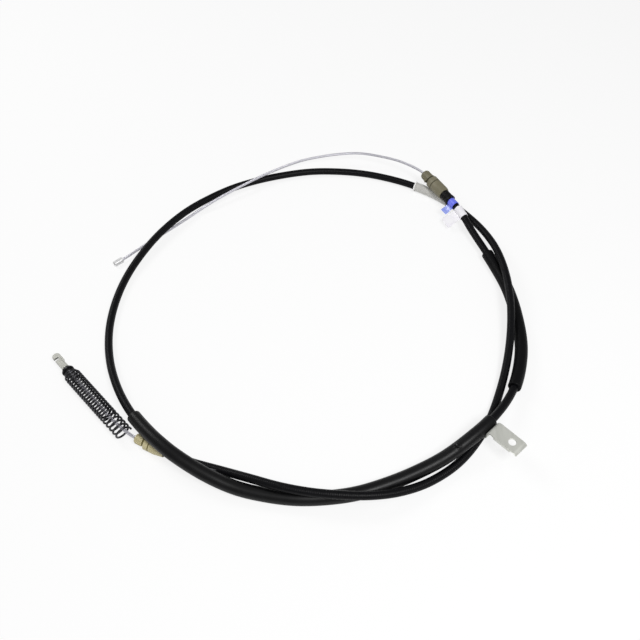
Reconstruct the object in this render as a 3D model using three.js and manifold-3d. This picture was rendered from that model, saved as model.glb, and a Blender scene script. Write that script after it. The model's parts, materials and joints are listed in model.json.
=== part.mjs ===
// Parking brake cable, laid on the floor in loose coils. Millimetres, +Z up.
// The floor is z = 0 and the origin is on it, under the middle of the coils.
// The front end has a die-cast nipple, and the rear end a hook with its return spring.
import * as THREE from "three";
import { mergeVertices } from "three/addons/utils/BufferGeometryUtils.js";
import Module from "manifold-3d";

const wasm = await Module();
wasm.setup();

// Clearances.
const SEAT_GAP = 0.3; // between pieces that are clipped, crimped or pressed together
const SLIDE_GAP = 0.2; // between the cable and the liner that it slides in
const LAYER_GAP = 0.1; // between one layer of the conduit and the next
const FLOOR_GAP = 0.4; // between the floor and what nearly touches it

// The cable and the three layers of its conduit.
const CABLE_RADIUS = 1.5;
const LINER_WALL = 0.4;
const ARMOUR_WALL = 0.6;
const JACKET_WALL = 0.5;

// Sleeves and the guide tube on the conduit, each by its place from the conduit's front end.
const FRONT_SLEEVE_START = 105;
const FRONT_SLEEVE_LENGTH = 182;
const FRONT_SLEEVE_WALL = 1.85;
const GUIDE_TUBE_START = 337;
const GUIDE_TUBE_LENGTH = 377;
const GUIDE_TUBE_WALL = 1.85;
const LOCATING_SLEEVE_START = 1320;
const LOCATING_SLEEVE_LENGTH = 48;
const LOCATING_SLEEVE_WALL = 0.8;
const LOCATING_RIM_LENGTH = 1.6;
const LOCATING_RIM_HEIGHT = 0.7;

// Front conduit fitting, measured along its axis from the mouth.
const FRONT_FITTING_LENGTH = 39;
const FRONT_NOSE_RADIUS = 5.4;
const FRONT_NOSE_LENGTH = 11;
const FRONT_NECK_RADIUS = 4.5;
const FRONT_NECK_LENGTH = 3;
const FRONT_BODY_RADIUS = 7.5;
const FRONT_RING_LENGTH = 6.5;
const FRONT_TAIL_RADIUS = 6.9;
const FRONT_CHAMFER = 2.5;
const FRONT_SEAT_DEPTH = 28.7;
const BARB_WIDTH = 3.4;
const BARB_LENGTH = 8;
const BARB_HEIGHT = 2;
const BARB_ROOT = 0.9; // how deep the barb is rooted in the nose's wall

// Rear conduit fitting, measured along its axis from the mouth.
const REAR_FITTING_LENGTH = 32;
const REAR_NOSE_RADIUS = 4.6;
const REAR_NOSE_LENGTH = 8.6;
const REAR_NECK_RADIUS = 4.1;
const REAR_NECK_LENGTH = 2.4;
const REAR_BODY_RADIUS = 6.6;
const REAR_BODY_END = 23;
const REAR_GROOVE_AT = 16;
const REAR_TAIL_RADIUS = 5.4;
const REAR_SEAT_DEPTH = 18;
const REAR_SOCKET_LENGTH = 7;

// What both fittings have: a ring groove, a wiper seal in the nose and a crimped ferrule inside.
const GROOVE_WIDTH = 1;
const GROOVE_DEPTH = 0.6;
const WIRE_BORE_RADIUS = 2.2;
const SEAL_LENGTH = 2.6;
const FRONT_SEAL_RADIUS = 3.6;
const REAR_SEAL_RADIUS = 2.9;
const FERRULE_WALL = 0.6;

// Rubber collar, marker tape and paper label behind the front fitting.
const COLLAR_LENGTH = 12.6;
const COLLAR_WALL = 1.3;
const COLLAR_FLARE = 0.5;
const TAPE_WIDTH = 9;
const TAPE_THICKNESS = 0.4;
const TAPE_FLAG_LENGTH = 10;
const TAPE_FLAG_DROOP = 35; // degrees below level
const LABEL_SPACING = 4.5;
const LABEL_WIDTH = 14;
const LABEL_THICKNESS = 0.4;
const LABEL_TAIL_LENGTH = 17;
const LABEL_TAIL_DROOP = 25; // degrees below level

// Mounting bracket of folded sheet, welded to the guide tube near its front end.
const BRACKET_SHEET = 1.6;
const BRACKET_WIDTH = 16;
const BRACKET_FROM_TUBE_END = 8.5;
const BRACKET_SADDLE_TURN = 125;
const BRACKET_BEND_RADIUS = 3.4;
const BRACKET_RISE = 3.6;
const BRACKET_SLOPE = -3; // degrees below level, so the face rises a little outwards
const BRACKET_FACE_LENGTH = 24;
const BRACKET_LIP_TURN = 48;
const BRACKET_LIP_LENGTH = 1.2;
const BRACKET_FLANGE_DEPTH = 4.6;
const BRACKET_FLANGE_SETBACK = 2;
const BRACKET_HOLE_RADIUS = 3.5;
const BRACKET_HOLE_AT = 17.5;

// Front nipple.
const NIPPLE_RADIUS = 3.2;
const NIPPLE_LENGTH = 11;
const NIPPLE_CHAMFER = 0.7;
const NIPPLE_BORE_DEPTH = 7.5;

// Return spring, counted from its open end by the rear fitting.
const SPRING_WIRE_RADIUS = 1;
const SPRING_RADIUS = 8.25;
const SPRING_WIDE_TURNS = 5;
const SPRING_WIDE_PITCH = 5.2;
const SPRING_CLOSE_TURNS = 19;
const SPRING_CLOSE_PITCH = 3.6;
const SPRING_END_TURNS = 0.7;
const SPRING_TAPER_TURNS = 0.9;

// Spring seat, swaged ferrule and hook, on the same axis as the spring.
const SPRING_SEAT_RADIUS = 6.2;
const SPRING_SEAT_THICKNESS = 1.6;
const HOOK_FERRULE_RADIUS = 3.8;
const HOOK_FERRULE_LENGTH = 17;
const HOOK_FERRULE_FLANGE_RADIUS = 5;
const HOOK_FERRULE_FLANGE_LENGTH = 1.4;
const HOOK_FERRULE_CABLE_DEPTH = 8;
const HOOK_SHANK_RADIUS = 2.4;
const HOOK_SHANK_LENGTH = 6;
const HOOK_THICKNESS = 2.6;
const HOOK_STEM_WIDTH = 6.6;
const HOOK_STEM_LENGTH = 9;
const HOOK_BLADE_WIDTH = 8;
const HOOK_SHOULDER_LENGTH = 2.8;
const HOOK_LENGTH = 23.5;
const HOOK_SLOT_WIDTH = 2.4;
const HOOK_SLOT_DEPTH = 5;
const HOOK_SLOT_FROM_TIP = 7;

// Facets.
const CORD_SIDES = 8;
const TURNED_SIDES = 16;
const SPRING_SIDES = 6;
const SPRING_STEPS_PER_TURN = 9;
const BRACKET_BEND_STEPS = 4;
const HOOK_TIP_STEPS = 6;
const LONGEST_STEP = 32;
const SAMPLES_PER_POINT = 60;

// How far a hole or a slot is cut beyond the face that it opens in.
const CUT_OVERRUN = 2.4;

// Straight lengths of the cable where it leaves an end piece, and its reach into the spring's axis.
const NIPPLE_LEAD = 4.5;
const REAR_TAIL_LEAD = 8;
const REAR_MOUTH_LEAD = 6;
const CENTRED_IN_SPRING = 24.75;
const MIDWAY_IN_SPRING = 49.5;

// Where the end pieces lie, and which way they point, in degrees from +X towards +Y.
const FRONT_MOUTH = new THREE.Vector3(154, 185, 20.2);
const FRONT_AXIS = headingOf(-59, -2);
const REAR_MOUTH = new THREE.Vector3(-142.4, -162.5, 7.2);
const REAR_AXIS = headingOf(153, 0);
const SPRING_START = new THREE.Vector3(-153.8, -158.9, SPRING_RADIUS + FLOOR_GAP);
const SPRING_AXIS = headingOf(134, 0);
const NIPPLE_FACE = new THREE.Vector3(-193, 62.2, NIPPLE_RADIUS + FLOOR_GAP);
const NIPPLE_AXIS = headingOf(-138, 0);

// The bare front wire, from the nipple to the front fitting's mouth.
const WIRE_POINTS = [
  [-171, 86.3, 2.1], [-144, 112.6, 1.8], [-129.6, 126.8, 2], [-100, 151.3, 6.6], [-66, 176, 9.8],
  [-33, 198, 11.5], [3, 216, 13.5], [28, 223, 14.5], [53, 227, 15.5], [78, 227, 16.5],
  [102, 220, 17.8], [123, 210.5, 19.2], [136.5, 201.4, 20], [146.5, 193.2, 20.3],
];

// The conduit, from behind the front fitting twice round the coil to the rear fitting.
const CONDUIT_POINTS = [
  [201, 99, 12.5], [219.5, 54, 7.9], [230.5, 16, 6.7], [234, -26, 6.7], [231.6, -63, 7.2],
  [220.3, -101, 9], [207, -125, 12.8], [187.5, -149, 17], [170.6, -164, 16.5],
  [141.6, -184, 11], [113.5, -197.9, 7.7], [86, -209, 6.7], [59.4, -217.2, 6.7],
  [33, -221, 6.7], [6.4, -221.7, 6.8], [-20, -218.4, 6.9], [-46.8, -212.4, 8.6],
  [-73.6, -202.4, 14.4], [-101, -187.2, 20.4], [-116, -175.8, 21.4], [-131.8, -160.8, 20],
  [-151, -138.4, 17], [-169.7, -107, 11], [-183.8, -71.4, 5.8], [-190.6, -35.2, 4.2],
  [-190.3, 1.1, 4.2], [-183.8, 36.7, 4.6], [-171, 69, 6.8], [-154, 100, 8.3],
  [-130.5, 131.7, 8.2], [-104, 158.7, 5.6], [-74, 180, 4.2], [-34, 196, 4.2],
  [13, 206.7, 4.2], [48, 207.5, 4.2], [82.6, 203.3, 4.2], [116, 192.7, 4.8],
  [143.5, 178.4, 6.3], [166.4, 163.9, 6], [187.3, 144, 6.6], [206.5, 114.6, 10],
  [218, 86.4, 14.4], [224.6, 59.5, 17.4], [228.3, 22.8, 18], [226.3, -19.7, 16],
  [217.8, -66.3, 10.5], [203.6, -109.8, 5.2], [184, -150.4, 4.2], [156.8, -184.2, 4.2],
  [127.6, -204.6, 5], [99.5, -216.6, 9.8], [72, -222.6, 15.4], [45.8, -223.1, 17.8],
  [19.8, -220.7, 17.9], [-6.5, -215.3, 17.2], [-33.8, -205.6, 13], [-61.8, -194.6, 6.3],
  [-88.5, -186.6, 5.5],
];

// Sizes that follow from those above.
const LINER_BORE = boreAround(CABLE_RADIUS, SLIDE_GAP);
const LINER_RADIUS = LINER_BORE + LINER_WALL;
const ARMOUR_BORE = boreAround(LINER_RADIUS, LAYER_GAP);
const ARMOUR_RADIUS = ARMOUR_BORE + ARMOUR_WALL;
const JACKET_BORE = boreAround(ARMOUR_RADIUS, LAYER_GAP);
const JACKET_RADIUS = JACKET_BORE + JACKET_WALL;
const ON_JACKET = boreAround(JACKET_RADIUS, SEAT_GAP);
const ON_CABLE = boreAround(CABLE_RADIUS, SEAT_GAP);
const FERRULE_RADIUS = ON_JACKET + FERRULE_WALL;
const GUIDE_TUBE_RADIUS = ON_JACKET + GUIDE_TUBE_WALL;
const CONDUIT_START = FRONT_SEAT_DEPTH + SEAT_GAP;
const COLLAR_START = FRONT_FITTING_LENGTH + SEAT_GAP;
const TAPE_START = COLLAR_START + COLLAR_LENGTH + SEAT_GAP;
const LABEL_START = TAPE_START + TAPE_WIDTH + LABEL_SPACING;
const LABEL_END = LABEL_START + LABEL_WIDTH;
const REAR_TAIL = along(REAR_MOUTH, REAR_AXIS, -REAR_FITTING_LENGTH);
const HOOK_FERRULE_START = springReach(SPRING_WIDE_TURNS + SPRING_CLOSE_TURNS)
  + SPRING_WIRE_RADIUS + SPRING_SEAT_THICKNESS + 2 * SEAT_GAP
  + HOOK_FERRULE_FLANGE_LENGTH - HOOK_FERRULE_LENGTH;

// Materials, one for each finish.
const finish = (color, roughness, metalness) => (
  new THREE.MeshStandardMaterial({ color, roughness, metalness }));
const zincWire = finish(0xb8b8bd, 0.35, 1);
const dieCast = finish(0xe4e4e4, 0.4, 0.9);
const oliveNylon = finish(0x7b7663, 0.55, 0);
const beigeNylon = finish(0xb3a87c, 0.5, 0);
const blackRubber = finish(0x161616, 0.75, 0);
const blackPlastic = finish(0x1a1a1c, 0.45, 0);
const blackPaint = finish(0x17171a, 0.35, 0.2);
const blueTape = finish(0x7d83f0, 0.3, 0);
const whitePaper = finish(0xf2f2f0, 0.6, 0);
const milkyPlastic = finish(0xd0cfc8, 0.4, 0);
const linerPlastic = finish(0xe9e6da, 0.4, 0);
const platedSheet = finish(0xcfd0ca, 0.35, 0.9);
const springSteel = finish(0x2a2a2c, 0.35, 0.8);
const hookSteel = finish(0x96958f, 0.4, 0.9);

// A level direction by its compass heading, tilted up by its climb.
function headingOf(degrees, climb) {
  const turn = THREE.MathUtils.degToRad(degrees);
  const rise = THREE.MathUtils.degToRad(climb);
  const level = new THREE.Vector3(Math.cos(turn), Math.sin(turn), 0);
  return level.multiplyScalar(Math.cos(rise)).setZ(Math.sin(rise));
}

function along(point, axis, distance) {
  return point.clone().addScaledVector(axis, distance);
}

// The corner radius of a flat-sided bore whose flats clear a round piece by a gap.
function boreAround(radius, gap) {
  return (radius + gap) / Math.cos(Math.PI / CORD_SIDES);
}

// How far along the spring's axis its wire has come after a number of turns.
function springReach(turns) {
  const wide = Math.min(turns, SPRING_WIDE_TURNS);
  return wide * SPRING_WIDE_PITCH + (turns - wide) * SPRING_CLOSE_PITCH;
}

// The whole inner cable's centreline: nipple, bare wire, front fitting, conduit, rear fitting, hook.
const nippleLead = along(NIPPLE_FACE, NIPPLE_AXIS, -NIPPLE_LEAD);
const springInside = along(SPRING_START, SPRING_AXIS, CENTRED_IN_SPRING);
const ferruleMouth = along(SPRING_START, SPRING_AXIS, HOOK_FERRULE_START);
const routePoints = [
  along(NIPPLE_FACE, NIPPLE_AXIS, NIPPLE_BORE_DEPTH - SEAT_GAP),
  NIPPLE_FACE,
  nippleLead,
  ...WIRE_POINTS.map((p) => new THREE.Vector3(...p)),
  FRONT_MOUTH,
  along(FRONT_MOUTH, FRONT_AXIS, CONDUIT_START),
  along(FRONT_MOUTH, FRONT_AXIS, TAPE_START + TAPE_WIDTH),
  along(FRONT_MOUTH, FRONT_AXIS, LABEL_START + JACKET_RADIUS),
  ...CONDUIT_POINTS.map((p) => new THREE.Vector3(...p)),
  along(REAR_MOUTH, REAR_AXIS, -REAR_FITTING_LENGTH - REAR_TAIL_LEAD),
  REAR_TAIL,
  along(REAR_MOUTH, REAR_AXIS, -REAR_SEAT_DEPTH),
  REAR_MOUTH,
  along(REAR_MOUTH, REAR_AXIS, REAR_MOUTH_LEAD),
  springInside,
  along(SPRING_START, SPRING_AXIS, MIDWAY_IN_SPRING),
  ferruleMouth,
  along(SPRING_START, SPRING_AXIS, HOOK_FERRULE_START + HOOK_FERRULE_CABLE_DEPTH - SEAT_GAP),
];
const route = new THREE.CatmullRomCurve3(routePoints, false, "centripetal");
route.arcLengthDivisions = (routePoints.length - 1) * SAMPLES_PER_POINT;
const routeLengths = route.getLengths();
const lengthAt = (point) => routeLengths[routePoints.indexOf(point) * SAMPLES_PER_POINT];

// Places along the centreline where a piece starts or ends.
const frontMouth = lengthAt(FRONT_MOUTH);
const conduitStart = frontMouth + CONDUIT_START;
const conduitEnd = lengthAt(REAR_MOUTH) - REAR_SEAT_DEPTH - SEAT_GAP;
const places = {
  cableStart: 0,
  nippleLead: lengthAt(nippleLead),
  frontMouth,
  conduitStart,
  labelStart: frontMouth + LABEL_START,
  labelEnd: frontMouth + LABEL_END,
  frontSleeveStart: conduitStart + FRONT_SLEEVE_START,
  frontSleeveEnd: conduitStart + FRONT_SLEEVE_START + FRONT_SLEEVE_LENGTH,
  guideTubeStart: conduitStart + GUIDE_TUBE_START,
  saddleEnd: conduitStart + GUIDE_TUBE_START + 2 * BRACKET_FROM_TUBE_END,
  guideTubeEnd: conduitStart + GUIDE_TUBE_START + GUIDE_TUBE_LENGTH,
  locatingRim: conduitStart + LOCATING_SLEEVE_START,
  locatingStart: conduitStart + LOCATING_SLEEVE_START + LOCATING_RIM_LENGTH,
  locatingEnd: conduitStart + LOCATING_SLEEVE_START + LOCATING_SLEEVE_LENGTH,
  rearTail: lengthAt(REAR_TAIL),
  conduitEnd,
  rearMouth: lengthAt(REAR_MOUTH),
  springInside: lengthAt(springInside),
  ferruleMouth: lengthAt(ferruleMouth),
  cableEnd: route.getLength(),
};

// Stations: every length of the cable is cut here, so that nested layers have matching flats.
const stations = [0];
const stationOf = { cableStart: 0 };
for (const [name, place] of Object.entries(places).slice(1)) {
  const from = stations[stations.length - 1];
  const steps = Math.ceil((place - from) / LONGEST_STEP);
  for (let step = 1; step <= steps; step += 1) {
    stations.push(from + ((place - from) * step) / steps);
  }
  stationOf[name] = stations.length - 1;
}

// A stretch of the centreline from one station to another, straight between neighbours' places.
class Stretch extends THREE.Curve {
  constructor(from, to) {
    super();
    this.from = stationOf[from];
    this.steps = stationOf[to] - this.from;
  }
  getPoint(t, target = new THREE.Vector3()) {
    const station = this.from + t * this.steps;
    const below = Math.min(Math.floor(station), stations.length - 2);
    const place = THREE.MathUtils.lerp(stations[below], stations[below + 1], station - below);
    return route.getPointAt(place / places.cableEnd, target);
  }
  getUtoTmapping(u) {
    return u;
  }
}

const stationPoint = (name) => route.getPointAt(places[name] / places.cableEnd);

// A flat-sided disc, or a ring where a bore is given.
function section(radius, bore, sides) {
  const corners = (size) => Array.from({ length: sides }, (_, i) => {
    const turn = (2 * Math.PI * i) / sides;
    return new THREE.Vector2(size * Math.cos(turn), size * Math.sin(turn));
  });
  const shape = new THREE.Shape(corners(radius));
  if (bore) shape.holes.push(new THREE.Path(corners(bore)));
  return shape;
}

function tubeAlong(from, to, radius, bore) {
  const path = new Stretch(from, to);
  const shape = section(radius, bore, CORD_SIDES);
  return new THREE.ExtrudeGeometry(shape, { steps: path.steps, extrudePath: path });
}

// A turned piece about its own Y axis. The profile is pairs of radius and height, up the outside.
function turned(profile) {
  const points = profile.map(([radius, height]) => new THREE.Vector2(radius, height));
  if (profile[0][0] > 0) points.push(points[0].clone());
  return new THREE.LatheGeometry(points, TURNED_SIDES);
}

function ring(radius, bore, start, length) {
  return turned([[bore, start], [radius, start], [radius, start + length], [bore, start + length]]);
}

// Boolean joins and cuts of closed geometries.
function solidOf(geometry) {
  const bare = geometry.clone();
  bare.deleteAttribute("normal");
  bare.deleteAttribute("uv");
  const merged = mergeVertices(bare);
  const vertProperties = merged.attributes.position.array;
  const triVerts = new Uint32Array(merged.index.array);
  return new wasm.Manifold(new wasm.Mesh({ numProp: 3, vertProperties, triVerts }));
}

function geometryOf(solid) {
  const { vertProperties, triVerts } = solid.getMesh();
  const geometry = new THREE.BufferGeometry();
  geometry.setAttribute("position", new THREE.BufferAttribute(vertProperties, 3));
  geometry.setIndex(new THREE.BufferAttribute(triVerts, 1));
  geometry.computeVertexNormals();
  return geometry;
}

function joined(first, ...others) {
  return geometryOf(others.reduce((solid, other) => solid.add(solidOf(other)), solidOf(first)));
}

function cut(body, ...tools) {
  return geometryOf(tools.reduce((solid, tool) => solid.subtract(solidOf(tool)), solidOf(body)));
}

// A group whose +Y runs along an axis and whose +X leans to a chosen side.
function placed(origin, axis, side) {
  const y = axis.clone().normalize();
  const z = side.clone().cross(y).normalize();
  const x = y.clone().cross(z);
  const frame = new THREE.Group();
  frame.quaternion.setFromRotationMatrix(new THREE.Matrix4().makeBasis(x, y, z));
  frame.position.copy(origin);
  return frame;
}

const cableAssembly = new THREE.Group();
const UP = new THREE.Vector3(0, 0, 1);

function addPiece(name, geometry, material, frame = cableAssembly) {
  const mesh = new THREE.Mesh(geometry, material);
  mesh.name = name;
  frame.add(mesh);
}

function addFrame(origin, axis, side) {
  const frame = placed(origin, axis, side);
  cableAssembly.add(frame);
  return frame;
}

// Cable and conduit layers.
addPiece("inner_cable", tubeAlong("cableStart", "cableEnd", CABLE_RADIUS), zincWire);
const conduitLayer = (radius, bore) => tubeAlong("conduitStart", "conduitEnd", radius, bore);
addPiece("conduit_liner", conduitLayer(LINER_RADIUS, LINER_BORE), linerPlastic);
addPiece("conduit_armour", conduitLayer(ARMOUR_RADIUS, ARMOUR_BORE), zincWire);
addPiece("conduit_jacket", conduitLayer(JACKET_RADIUS, JACKET_BORE), blackPlastic);

// Sleeves on the conduit.
const sleeveRadius = (wall) => ON_JACKET + wall;
addPiece("front_sleeve", tubeAlong(
  "frontSleeveStart", "frontSleeveEnd", sleeveRadius(FRONT_SLEEVE_WALL), ON_JACKET), blackRubber);
addPiece("guide_tube", tubeAlong(
  "guideTubeStart", "guideTubeEnd", GUIDE_TUBE_RADIUS, ON_JACKET), blackPaint);
const locatingRadius = sleeveRadius(LOCATING_SLEEVE_WALL);
addPiece("locating_sleeve", joined(
  tubeAlong("locatingRim", "locatingEnd", locatingRadius, ON_JACKET),
  tubeAlong("locatingRim", "locatingStart", locatingRadius + LOCATING_RIM_HEIGHT, ON_JACKET),
), milkyPlastic);

// A snap barb on the nose of a fitting: a wedge that rises away from the mouth.
function barb(noseRadius, start, turn) {
  const wedge = new THREE.Shape();
  wedge.moveTo(noseRadius - BARB_ROOT, start);
  wedge.lineTo(noseRadius, start);
  wedge.lineTo(noseRadius + BARB_HEIGHT, start + BARB_LENGTH);
  wedge.lineTo(noseRadius - BARB_ROOT, start + BARB_LENGTH);
  const geometry = new THREE.ExtrudeGeometry(wedge, { depth: BARB_WIDTH, bevelEnabled: false });
  geometry.translate(0, 0, -BARB_WIDTH / 2);
  geometry.rotateY(turn);
  return geometry;
}

// Front fitting with its seal, ferrule, collar and tape, on one axis from the mouth.
const levelLeft = new THREE.Vector3().crossVectors(FRONT_AXIS, UP);
const frontFrame = addFrame(FRONT_MOUTH, FRONT_AXIS, levelLeft);
const frontSocket = FERRULE_RADIUS + SEAT_GAP;
const frontPocket = FRONT_SEAL_RADIUS + SEAT_GAP;
const sealPocketDepth = SEAL_LENGTH + 2 * SEAT_GAP;
const frontShoulder = FRONT_NOSE_LENGTH + FRONT_NECK_LENGTH;
const frontGroove = frontShoulder + FRONT_RING_LENGTH;
const grooveRadius = FRONT_BODY_RADIUS - GROOVE_DEPTH;
const frontBody = turned([
  [frontPocket, 0], [FRONT_NOSE_RADIUS, 0], [FRONT_NOSE_RADIUS, FRONT_NOSE_LENGTH],
  [FRONT_NECK_RADIUS, FRONT_NOSE_LENGTH], [FRONT_NECK_RADIUS, frontShoulder],
  [FRONT_BODY_RADIUS, frontShoulder], [FRONT_BODY_RADIUS, frontGroove],
  [grooveRadius, frontGroove], [grooveRadius, frontGroove + GROOVE_WIDTH],
  [FRONT_BODY_RADIUS, frontGroove + GROOVE_WIDTH],
  [FRONT_BODY_RADIUS, FRONT_FITTING_LENGTH - FRONT_CHAMFER], [FRONT_TAIL_RADIUS, FRONT_FITTING_LENGTH],
  [frontSocket, FRONT_FITTING_LENGTH], [frontSocket, FRONT_SEAT_DEPTH],
  [WIRE_BORE_RADIUS, FRONT_SEAT_DEPTH], [WIRE_BORE_RADIUS, sealPocketDepth],
  [frontPocket, sealPocketDepth],
]);
const frontBarbStart = FRONT_NOSE_LENGTH - BARB_LENGTH;
addPiece("front_fitting", joined(
  frontBody,
  barb(FRONT_NOSE_RADIUS, frontBarbStart, 0),
  barb(FRONT_NOSE_RADIUS, frontBarbStart, Math.PI),
), oliveNylon, frontFrame);
addPiece("front_seal", ring(FRONT_SEAL_RADIUS, ON_CABLE, SEAT_GAP, SEAL_LENGTH), blackRubber, frontFrame);
const frontFerruleLength = FRONT_FITTING_LENGTH - CONDUIT_START;
addPiece("front_ferrule", ring(
  FERRULE_RADIUS, ON_JACKET, CONDUIT_START, frontFerruleLength), zincWire, frontFrame);
const collarRadius = ON_JACKET + COLLAR_WALL;
addPiece("front_collar", turned([
  [ON_JACKET, COLLAR_START], [collarRadius, COLLAR_START],
  [collarRadius, COLLAR_START + COLLAR_LENGTH / 2],
  [collarRadius + COLLAR_FLARE, COLLAR_START + COLLAR_LENGTH],
  [ON_JACKET, COLLAR_START + COLLAR_LENGTH],
]), blackRubber, frontFrame);

// A band wound round the conduit, with its loose end standing out to one side.
function bandWithTail(width, thickness, tailLength) {
  const outer = ON_JACKET + thickness;
  const tail = new THREE.BoxGeometry(tailLength + thickness / 2, width, thickness);
  tail.translate(outer - thickness / 2 + (tailLength + thickness / 2) / 2, width / 2, 0);
  return joined(ring(outer, ON_JACKET, 0, width), tail);
}

// The left side of the fitting, turned down by its droop.
function drooping(degrees) {
  const droop = THREE.MathUtils.degToRad(degrees);
  return levelLeft.clone().multiplyScalar(Math.cos(droop)).addScaledVector(UP, -Math.sin(droop));
}

const tapeFrame = addFrame(
  along(FRONT_MOUTH, FRONT_AXIS, TAPE_START), FRONT_AXIS, drooping(TAPE_FLAG_DROOP));
addPiece("marker_tape", bandWithTail(TAPE_WIDTH, TAPE_THICKNESS, TAPE_FLAG_LENGTH), blueTape, tapeFrame);
const labelFrom = stationPoint("labelStart");
const labelAxis = stationPoint("labelEnd").sub(labelFrom);
const labelFrame = addFrame(labelFrom, labelAxis, drooping(LABEL_TAIL_DROOP));
addPiece("paper_label", bandWithTail(
  labelAxis.length(), LABEL_THICKNESS, LABEL_TAIL_LENGTH), whitePaper, labelFrame);

// Rear fitting with its seal and ferrule, on one axis from the mouth.
const rearInward = REAR_AXIS.clone().negate();
const rearFrame = addFrame(REAR_MOUTH, rearInward, new THREE.Vector3().crossVectors(UP, rearInward));
const rearPocket = REAR_SEAL_RADIUS + SEAT_GAP;
const rearShoulder = REAR_NOSE_LENGTH + REAR_NECK_LENGTH;
const rearSocketEnd = REAR_SEAT_DEPTH + REAR_SOCKET_LENGTH;
const rearBody = turned([
  [rearPocket, 0], [REAR_NOSE_RADIUS, 0], [REAR_NOSE_RADIUS, REAR_NOSE_LENGTH],
  [REAR_NECK_RADIUS, REAR_NOSE_LENGTH], [REAR_NECK_RADIUS, rearShoulder],
  [REAR_BODY_RADIUS, rearShoulder], [REAR_BODY_RADIUS, REAR_GROOVE_AT],
  [REAR_BODY_RADIUS - GROOVE_DEPTH, REAR_GROOVE_AT],
  [REAR_BODY_RADIUS - GROOVE_DEPTH, REAR_GROOVE_AT + GROOVE_WIDTH],
  [REAR_BODY_RADIUS, REAR_GROOVE_AT + GROOVE_WIDTH], [REAR_BODY_RADIUS, REAR_BODY_END],
  [REAR_TAIL_RADIUS, REAR_FITTING_LENGTH], [ON_JACKET, REAR_FITTING_LENGTH],
  [ON_JACKET, rearSocketEnd], [frontSocket, rearSocketEnd], [frontSocket, REAR_SEAT_DEPTH],
  [WIRE_BORE_RADIUS, REAR_SEAT_DEPTH], [WIRE_BORE_RADIUS, sealPocketDepth],
  [rearPocket, sealPocketDepth],
]);
addPiece("rear_fitting", joined(
  rearBody, barb(REAR_NOSE_RADIUS, REAR_NOSE_LENGTH - BARB_LENGTH, 0)), beigeNylon, rearFrame);
addPiece("rear_seal", ring(REAR_SEAL_RADIUS, ON_CABLE, SEAT_GAP, SEAL_LENGTH), blackRubber, rearFrame);
const rearFerruleLength = REAR_SOCKET_LENGTH - 2 * SEAT_GAP;
addPiece("rear_ferrule", ring(
  FERRULE_RADIUS, ON_JACKET, REAR_SEAT_DEPTH + SEAT_GAP, rearFerruleLength), zincWire, rearFrame);

// Mounting bracket: its section lies square to the guide tube, X outwards and Y up.
function bracketGeometry() {
  const inner = GUIDE_TUBE_RADIUS + SEAT_GAP;
  const outer = inner + BRACKET_SHEET;
  const degrees = THREE.MathUtils.degToRad;
  const saddleStart = degrees(-BRACKET_SADDLE_TURN);
  const bend = new THREE.Vector2(outer + BRACKET_BEND_RADIUS, BRACKET_RISE);
  const faceTurn = degrees(90 - BRACKET_SLOPE);
  const lipTurn = degrees(90 - BRACKET_SLOPE - BRACKET_LIP_TURN);
  const down = new THREE.Vector2(Math.sin(faceTurn), -Math.cos(faceTurn));
  const outwards = new THREE.Vector2(Math.cos(faceTurn), Math.sin(faceTurn));
  const lipCentre = bend.clone().addScaledVector(down, BRACKET_FACE_LENGTH);
  const lipDown = new THREE.Vector2(Math.sin(lipTurn), -Math.cos(lipTurn)).setLength(BRACKET_LIP_LENGTH);
  const topRadius = BRACKET_BEND_RADIUS + BRACKET_SHEET;
  const lipTop = new THREE.Vector2(Math.cos(lipTurn), Math.sin(lipTurn)).setLength(topRadius);
  const lipUnder = lipTop.clone().setLength(BRACKET_BEND_RADIUS);

  const strip = new THREE.Shape();
  strip.absarc(0, 0, inner, saddleStart, 0, false);
  strip.absarc(bend.x, bend.y, topRadius, Math.PI, faceTurn, true);
  strip.absarc(lipCentre.x, lipCentre.y, topRadius, faceTurn, lipTurn, true);
  strip.lineTo(lipCentre.x + lipTop.x + lipDown.x, lipCentre.y + lipTop.y + lipDown.y);
  strip.lineTo(lipCentre.x + lipUnder.x + lipDown.x, lipCentre.y + lipUnder.y + lipDown.y);
  strip.absarc(lipCentre.x, lipCentre.y, BRACKET_BEND_RADIUS, lipTurn, faceTurn, false);
  strip.absarc(bend.x, bend.y, BRACKET_BEND_RADIUS, faceTurn, Math.PI, false);
  strip.absarc(0, 0, outer, 0, saddleStart, true);
  const sheet = new THREE.ExtrudeGeometry(
    strip, { depth: BRACKET_WIDTH, bevelEnabled: false, curveSegments: BRACKET_BEND_STEPS });
  sheet.translate(0, 0, -BRACKET_WIDTH / 2);

  const onFace = (distance, height) => bend.clone().addScaledVector(down, distance)
    .addScaledVector(outwards, BRACKET_BEND_RADIUS + height);
  const flangeEnd = BRACKET_FACE_LENGTH - BRACKET_FLANGE_SETBACK;
  const side = new THREE.Shape([
    onFace(BRACKET_FLANGE_SETBACK, BRACKET_SHEET / 2),
    onFace(BRACKET_FLANGE_SETBACK, BRACKET_SHEET - BRACKET_FLANGE_DEPTH),
    onFace(flangeEnd, BRACKET_SHEET - BRACKET_FLANGE_DEPTH),
    onFace(flangeEnd, BRACKET_SHEET / 2),
  ]);
  const flange = new THREE.ExtrudeGeometry(side, { depth: BRACKET_SHEET, bevelEnabled: false });
  flange.translate(0, 0, BRACKET_WIDTH / 2 - BRACKET_SHEET);

  const drill = new THREE.CylinderGeometry(
    BRACKET_HOLE_RADIUS, BRACKET_HOLE_RADIUS, BRACKET_SHEET + 2 * CUT_OVERRUN, TURNED_SIDES);
  const hole = onFace(BRACKET_HOLE_AT, BRACKET_SHEET / 2);
  drill.rotateZ(-degrees(BRACKET_SLOPE));
  drill.translate(hole.x, hole.y, 0);
  return cut(joined(sheet, flange), drill);
}

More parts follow.
